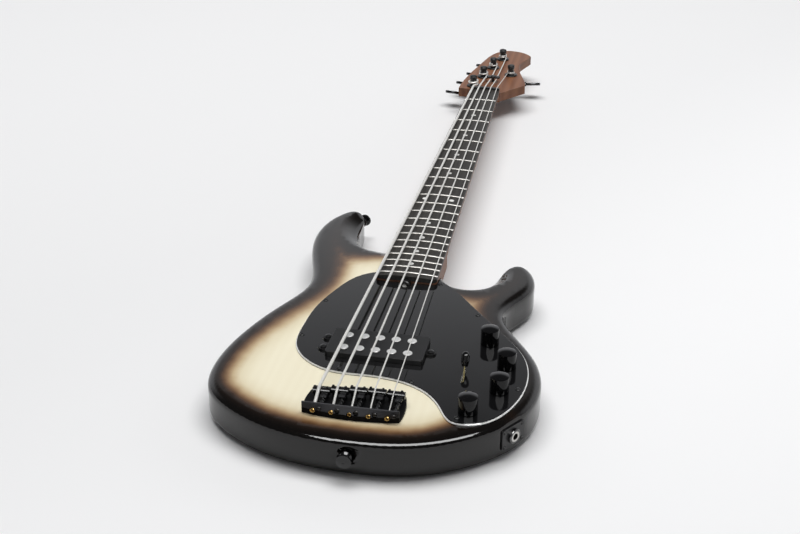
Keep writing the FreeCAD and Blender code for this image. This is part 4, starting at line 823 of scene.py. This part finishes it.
def postWraps(k, nut, spec):
    # Turns on the post, and the point where the string starts to lean on it
    gauge = spec["gauges"][k]
    postX, reach, side = spec["posts"][k]
    post = Vector((postX, spec["scaleLength"] + reach, 0))
    radius = spec["postRadius"] + spec["wrapClearance"] + gauge / 2
    hand = -side
    toward = Vector((nut.x - post.x, nut.y - post.y, 0))
    angle = math.atan2(toward.y, toward.x) + hand * math.acos(radius / toward.length)
    climb = gauge + spec["wrapGap"]
    slope = climb / (2 * math.pi * radius)
    height = spec["washerTop"] + spec["wrapClearance"] + gauge / 2 + spec["wrapLead"] * slope
    turns = spec["wrapTurns"][k]
    count = round(turns * spec["pointsPerTurn"])
    wraps = []
    for i in range(count + 1):
        share = turns * i / count
        a = angle + hand * 2 * math.pi * share
        wraps.append(post + Vector((radius * math.cos(a), radius * math.sin(a), height + climb * share)))
    heading = Vector((-math.sin(angle) * hand, math.cos(angle) * hand, slope)).normalized()
    return wraps, wraps[0] - heading * spec["wrapLead"]


def stringPath(k, spec):
    gauge = spec["gauges"][k]
    bridgeX = acrossStrings(k, spec["bridgeSpacing"])
    nutX = acrossStrings(k, spec["nutSpacing"])
    ball = Vector((bridgeX, spec["wallInner"] - spec["ballSeat"], spec["holeHeight"]))
    leave = Vector((bridgeX, spec["wallInner"] + spec["lead"], spec["holeHeight"]))
    crest = Vector((bridgeX, -spec["setbacks"][k], spec["saddleTop"] - camber(bridgeX) + gauge / 2))
    nutZ = spec["nutTop"] - camber(nutX) + gauge / 2
    nut = Vector((nutX, spec["scaleLength"] + spec["nutBack"], nutZ))
    wraps, lean = postWraps(k, nut, spec)
    corners = [crest, nut]
    if k in spec["treeStrings"]:
        share = (spec["scaleLength"] + spec["treeFront"] - nut.y) / (wraps[0].y - nut.y)
        under = nut.lerp(wraps[0], share)
        corners.append(Vector((under.x, under.y, spec["treeHeight"])))
    corners += [lean, wraps[0]]
    tail = [ball] + bent(ball, leave, crest, spec) + bent(leave, crest, nut, spec)
    run = [tail[-1]]
    for before, corner, after in zip(corners, corners[1:], corners[2:]):
        run += bent(before, corner, after, spec)
    return tail, run + wraps, leave, crest


def makeStrings(spec):
    for k, gauge in enumerate(spec["gauges"]):
        finish = makeWoundFinish(f"stringNickel{k + 1}", spec["windingPitch"][k], spec)
        tail, run, leave, crest = stringPath(k, spec)
        rear = makeTube(f"stringTail_{k + 1}", tail, gauge / 2, spec["sides"], finish)
        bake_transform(rear)
        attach(rear, "frame")
        main = makeTube(f"stringRun_{k + 1}", run, gauge / 2, spec["sides"], finish)
        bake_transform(main)
        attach(main, "frame")
        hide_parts("strings")
        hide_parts("strings")


makeStrings(strings)
print("strings made")


# Springs behind the saddles and under the pickup's ears
springs = {
    "wire": 0.7,
    "seatGap": 0.05,
    "pointsPerTurn": 26,
    "sides": 10,
    "saddleTurns": 3,
    "saddleRadius": 2.4,
    "saddleOffset": 6.0,
    "saddleHeight": 48.8,
    "saddleBack": 11.3,
    "earTurns": 4,
    "earRadius": 2.6,
    "earFloor": 21.35,
    "earTop": 43.35,
    "earPlaces": ((-54.1, 98.8), (-54.1, 78.4), (54.1, 88.6)),
}


def coilPoints(radius, turns, wire, length):
    # Along +Z from 0, the first and last half turn lying flat on the seats
    count = round((turns + 1) * springs["pointsPerTurn"])
    points = []
    for i in range(count + 1):
        share = (turns + 1) * i / count
        climb = min(max(share - 0.5, 0), turns) / turns
        angle = 2 * math.pi * share
        height = wire / 2 + climb * (length - wire)
        points.append(Vector((radius * math.cos(angle), radius * math.sin(angle), height)))
    return points


def makeSprings(spec):
    black = materials["blackHardware"]
    wire = spec["wire"]
    wall = strings["wallInner"] + spec["seatGap"]
    for k, setback in enumerate(strings["setbacks"]):
        x = acrossStrings(k, strings["bridgeSpacing"]) + spec["saddleOffset"]
        back = -setback - spec["saddleBack"] - spec["seatGap"]
        coil = coilPoints(spec["saddleRadius"], spec["saddleTurns"], wire, back - wall)
        points = [Vector((x + p.x, wall + p.z, spec["saddleHeight"] + p.y)) for p in coil]
        piece = makeTube(f"saddleSpring_{k + 1}", points, wire / 2, spec["sides"], black)
        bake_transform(piece)
        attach(piece, "frame")
        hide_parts("intonation_springs")
    for k, (x, y) in enumerate(spec["earPlaces"]):
        coil = coilPoints(spec["earRadius"], spec["earTurns"], wire, spec["earTop"] - spec["earFloor"])
        points = [Vector((x, y, spec["earFloor"])) + p for p in coil]
        piece = makeTube(f"earSpring_{k + 1}", points, wire / 2, spec["sides"], black)
        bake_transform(piece)
        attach(piece, "frame")
        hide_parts("pickup_springs")


makeSprings(springs)
print("springs made")


# Screw heads with a cross recess, set on points with their own axes
screws = {
    "segments": 20,
    "recess": 0.62,
    "recessWidth": 0.2,
    "recessDepth": 0.55,
    "recessTaper": 0.7,
    "flatRim": 0.06,
    "crown": ((1.0, -0.3), (1.0, 0.12), (0.94, 0.5), (0.8, 0.82)),
    "sharpAngle": 35.0,
    "guard": dict(radius=2.7, height=1.1, seat=43.75, seed=3, places=(
        (-77.0, 177.0), (-82.6, 101.0), (-29.8, 45.6), (44.6, 34.6), (97.5, -18.4), (147.3, 41.0),
        (89.1, 176.6), (38.6, 236.6))),
    "jack": dict(radius=2.0, height=0.9, seat=1.75, seed=5, spread=(12.2, 8.2)),
    "tuner": dict(radius=1.7, height=0.9, seat=26.95, seed=7,
                  places=((-9.6, -9.6), (9.6, -9.6), (-9.9, 8.4), (9.9, 8.4))),
    "bolt": dict(radius=4.2, height=0.7, seat=1.05, seed=11,
                 places=((-23.0, 247.4), (21.0, 247.4), (-25.0, 289.4), (-2.0, 271.4), (-25.0, 268.4))),
    "tunerTurns": (169.8, 169.8, 169.8, 169.8, 12.5),
}


def screwHeadMesh(spec):
    # Unit radius and height; the cross is sunk into the flat of the crown
    work = bmesh.new()
    count = spec["segments"]
    step = 2 * math.pi / count
    rings = []
    for radius, height in (*spec["crown"], (spec["recess"] + spec["flatRim"], 1.0)):
        rings.append([work.verts.new((radius * math.cos(step * i), radius * math.sin(step * i), height))
                      for i in range(count)])
    for lower, upper in zip(rings, rings[1:]):
        for i in range(count):
            j = (i + 1) % count
            work.faces.new((lower[i], lower[j], upper[j], upper[i]))
    work.faces.new(list(reversed(rings[0])))
    arm, half = spec["recess"], spec["recessWidth"] / 2
    outline = []
    for quarter in range(4):
        turn = Matrix.Rotation(quarter * math.pi / 2, 2)
        outline += [turn @ Vector(p) for p in ((arm, -half), (arm, half), (half, half))]
    cross = [work.verts.new((p.x, p.y, 1.0)) for p in outline]
    taper, depth = spec["recessTaper"], spec["recessDepth"]
    floor = [work.verts.new((taper * p.x, taper * p.y, 1.0 - depth)) for p in outline]
    edges = [work.edges.new((a, b)) for a, b in zip(cross, cross[1:] + cross[:1])]
    top = rings[-1]
    rim = [work.edges.get((a, b)) for a, b in zip(top, top[1:] + top[:1])]
    bmesh.ops.triangle_fill(work, edges=rim + edges, use_beauty=True, use_dissolve=False, normal=(0, 0, 1))
    for i in range(len(cross)):
        j = (i + 1) % len(cross)
        work.faces.new((cross[i], cross[j], floor[j], floor[i]))
    work.faces.new(floor)
    bmesh.ops.recalc_face_normals(work, faces=work.faces)
    return smoothMesh("screwHead", work, spec["sharpAngle"])


def buildScatterTree():
    inputs = (("Head", "NodeSocketObject"), ("Radius", "NodeSocketFloat"), ("Height", "NodeSocketFloat"),
              ("Seed", "NodeSocketInt"))
    tree, taken, given = newGeometryTree("headsOnPoints", inputs)
    head = addNode(tree, "GeometryNodeObjectInfo")
    axis = addNode(tree, "GeometryNodeInputNamedAttribute", data_type="FLOAT_VECTOR")
    axis.inputs["Name"].default_value = "axis"
    aim = addNode(tree, "FunctionNodeAlignRotationToVector", axis="Z")
    spin = addNode(tree, "FunctionNodeRandomValue", data_type="FLOAT")
    spin.inputs[3].default_value = 2 * math.pi
    spinTurn = addNode(tree, "FunctionNodeAxisAngleToRotation")
    turned = addNode(tree, "FunctionNodeRotateRotation", rotation_space="LOCAL")
    size = addNode(tree, "ShaderNodeCombineXYZ")
    place = addNode(tree, "GeometryNodeInstanceOnPoints")
    tree.links.new(taken.outputs["Head"], head.inputs["Object"])
    tree.links.new(axis.outputs["Attribute"], aim.inputs["Vector"])
    tree.links.new(taken.outputs["Seed"], spin.inputs["Seed"])
    tree.links.new(spin.outputs[1], spinTurn.inputs["Angle"])
    tree.links.new(aim.outputs["Rotation"], turned.inputs["Rotation"])
    tree.links.new(spinTurn.outputs["Rotation"], turned.inputs["Rotate By"])
    tree.links.new(taken.outputs["Radius"], size.inputs["X"])
    tree.links.new(taken.outputs["Radius"], size.inputs["Y"])
    tree.links.new(taken.outputs["Height"], size.inputs["Z"])
    tree.links.new(taken.outputs["Geometry"], place.inputs["Points"])
    tree.links.new(head.outputs["Geometry"], place.inputs["Instance"])
    tree.links.new(turned.outputs["Rotation"], place.inputs["Rotation"])
    tree.links.new(size.outputs["Vector"], place.inputs["Scale"])
    return endTree(tree, taken, given, place.outputs["Instances"])


scatterTree = buildScatterTree()


def makeHeads(name, head, places, axis, spec):
    black = materials["blackHardware"]
    points = bpy.data.meshes.new(name + "Points")
    points.from_pydata([Vector(p) * mm for p in places], [], [])
    attribute = points.attributes.new("axis", "FLOAT_VECTOR", "POINT")
    for item in attribute.data:
        item.vector = axis
    mesh = evaluated(name, points, scatterTree, {
        "Head": head, "Radius": spec["radius"] * mm, "Height": spec["height"] * mm, "Seed": spec["seed"],
        "Finish": black})
    piece = addPiece(name, mesh, black)
    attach(piece, "frame")


def jackScrewPlaces(spec):
    out = jackOut()
    across = Vector((-out.y, out.x, 0))
    wide, high = spec["spread"]
    middle = Vector(jack["place"]) + out * spec["seat"]
    return [middle + across * (i * wide) + Vector((0, 0, j * high)) for i in (-1, 1) for j in (-1, 1)]


def tunerScrewPlaces(spec, turns):
    places = []
    for (postX, reach, side), degrees in zip(strings["posts"], turns):
        turn = Matrix.Rotation(math.radians(degrees), 2)
        for x, y in spec["places"]:
            local = turn @ Vector((x, side * y))
            places.append((postX + local.x, strings["scaleLength"] + reach + local.y, spec["seat"]))
    return places


def makeScrews(spec):
    head = bpy.data.objects.new("screwHead", screwHeadMesh(spec))
    guard, bolt = ([(x, y, spec[k]["seat"]) for x, y in spec[k]["places"]] for k in ("guard", "bolt"))
    makeHeads("guardScrews", head, guard, (0, 0, 1), spec["guard"])
    makeHeads("jackScrews", head, jackScrewPlaces(spec["jack"]), jackOut(), spec["jack"])
    tuner = tunerScrewPlaces(spec["tuner"], spec["tunerTurns"])
    makeHeads("tunerScrews", head, tuner, (0, 0, -1), spec["tuner"])
    makeHeads("boltRecesses", head, bolt, (0, 0, -1), spec["bolt"])
    bpy.data.objects.remove(head)


makeScrews(screws)
print("screws set")


# Turned forms: knobs with a fine bevel round a low dome, and the strings' ball ends
ballEnds = {
    "segments": 40,
    "sharpAngle": 24.0,
    "seat": -34.0,
    "outline": ((1.1, 0.0), (2.55, 0.0), (2.6, 0.1), (2.6, 2.4), (2.48, 2.95), (2.15, 3.35), (1.75, 3.5),
                (1.35, 3.35), (1.1, 2.9)),
}
knobs = {
    "places": ((109.0, 122.6), (131.6, 80.5), (130.1, 35.1), (106.0, -5.8)),
    "segments": 96,
    "sharpAngle": 24.0,
    "outline": ((3.0, 38.0), (3.0, 47.8), (7.2, 47.8), (7.2, 44.5), (7.4, 44.3), (9.2, 44.3), (9.4, 44.5),
                (9.4, 60.1), (9.25, 60.45), (8.9, 60.6)),
    "domeSteps": 10,
    "domeTop": 62.3,
}


def turnedMesh(name, outline, places, spec, closed):
    # Lathe form of an outline of radii and heights, repeated at each place
    work = bmesh.new()
    count = spec["segments"]
    for x, y in places:
        rings = []
        for radius, height in outline:
            if radius == 0:
                rings.append([work.verts.new((x * mm, y * mm, height * mm))] * count)
                continue
            turns = [2 * math.pi * i / count for i in range(count)]
            around = [Vector((x + radius * math.cos(a), y + radius * math.sin(a), height)) for a in turns]
            rings.append([work.verts.new(p * mm) for p in around])
        for lower, upper in zip(rings, rings[1:] + rings[:closed]):
            for i in range(count):
                j = (i + 1) % count
                work.faces.new(list(dict.fromkeys((lower[i], lower[j], upper[j], upper[i]))))
    bmesh.ops.recalc_face_normals(work, faces=work.faces)
    return smoothMesh(name, work, spec["sharpAngle"])


def makeKnobs(spec):
    rim, start = spec["outline"][-1]
    rise = spec["domeTop"] - start
    dome = (rim * rim + rise * rise) / (2 * rise)
    steps = spec["domeSteps"]
    radii = [rim * (1 - i / steps) for i in range(1, steps + 1)]
    crown = [(r, spec["domeTop"] - dome + math.sqrt(dome * dome - r * r)) for r in radii]
    outline = [(0, spec["outline"][0][1]), *spec["outline"], *crown]
    for k, place in enumerate(spec["places"]):
        name = f"knob_{k + 1}"
        mesh = turnedMesh(f"knobCap_{k + 1}", outline, [place], spec, 0)
        piece = addPiece(f"knobCap_{k + 1}", mesh, materials["knobBlack"])
        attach(piece, name)
        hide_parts(name)


def makeBallEnds(spec):
    mesh = turnedMesh("ballEnds", spec["outline"], [(0, 0)], spec, 1)
    lay = Matrix.Rotation(math.radians(90), 4, "X")
    for k in range(len(strings["gauges"])):
        x = acrossStrings(k, strings["bridgeSpacing"])
        place = Vector((x, spec["seat"], strings["holeHeight"])) * mm
        copy = mesh.copy()
        copy.transform(Matrix.Translation(place) @ lay)
        piece = addPiece(f"ballEnd_{k + 1}", copy, materials["brass"])
        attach(piece, "frame")
        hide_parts("ball_ends")


makeKnobs(knobs)
makeBallEnds(ballEnds)
print("knobs and ball ends made")


# Finishes of the CAD nodes that stay
nodeFinish = {
    "neckMaple": ("neck",),
    "ebony": ("fretboard",),
    "fretWire": ("frets",),
    "dotPearl": ("position_dots",),
    "nutBlack": ("nut",),
    "plainSteel": ("truss_rod", "switch_frame"),
    "guardBlack": ("pickguard",),
    "coverBlack": ("pickup_cover",),
    "poleSteel": ("pickup_poles",),
    "coilCopper": ("pickup_coils",),
    "nickel": ("potentiometers",),
    "leverBrass": ("switch_lever",),
    "jackNickel": ("jack_socket",),
    "batteryCase": ("batteries",),
    "boardGreen": ("preamp_board",),
    "boxBlack": ("battery_box", "battery_lid"),
    "buttonBlack": ("strap_buttons",),
    "bridgeBlackPaintedLight": ("bridge_plate",),
    "saddleBlack": ("saddle_1", "saddle_2", "saddle_3", "saddle_4", "saddle_5"),
    "blackHardware": (
        "truss_rod_wheel", "neck_bolts", "neck_ferrules", "pickup_screws", "bridge_screws", "string_tree",
        "jack_plate", "tuner_plates", "tuner_bushings",
        *(f"{stem}_{k}" for stem in ("intonation_screw", "tuner_post") for k in range(1, 6)),
    ),
    "blackChrome": tuple(f"tuner_key_{k}" for k in range(1, 6)),
}

for finish, names in nodeFinish.items():
    for name in names:
        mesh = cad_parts[name].data
        mesh.materials.clear()
        mesh.materials.append(materials[finish])
print("finishes assigned")
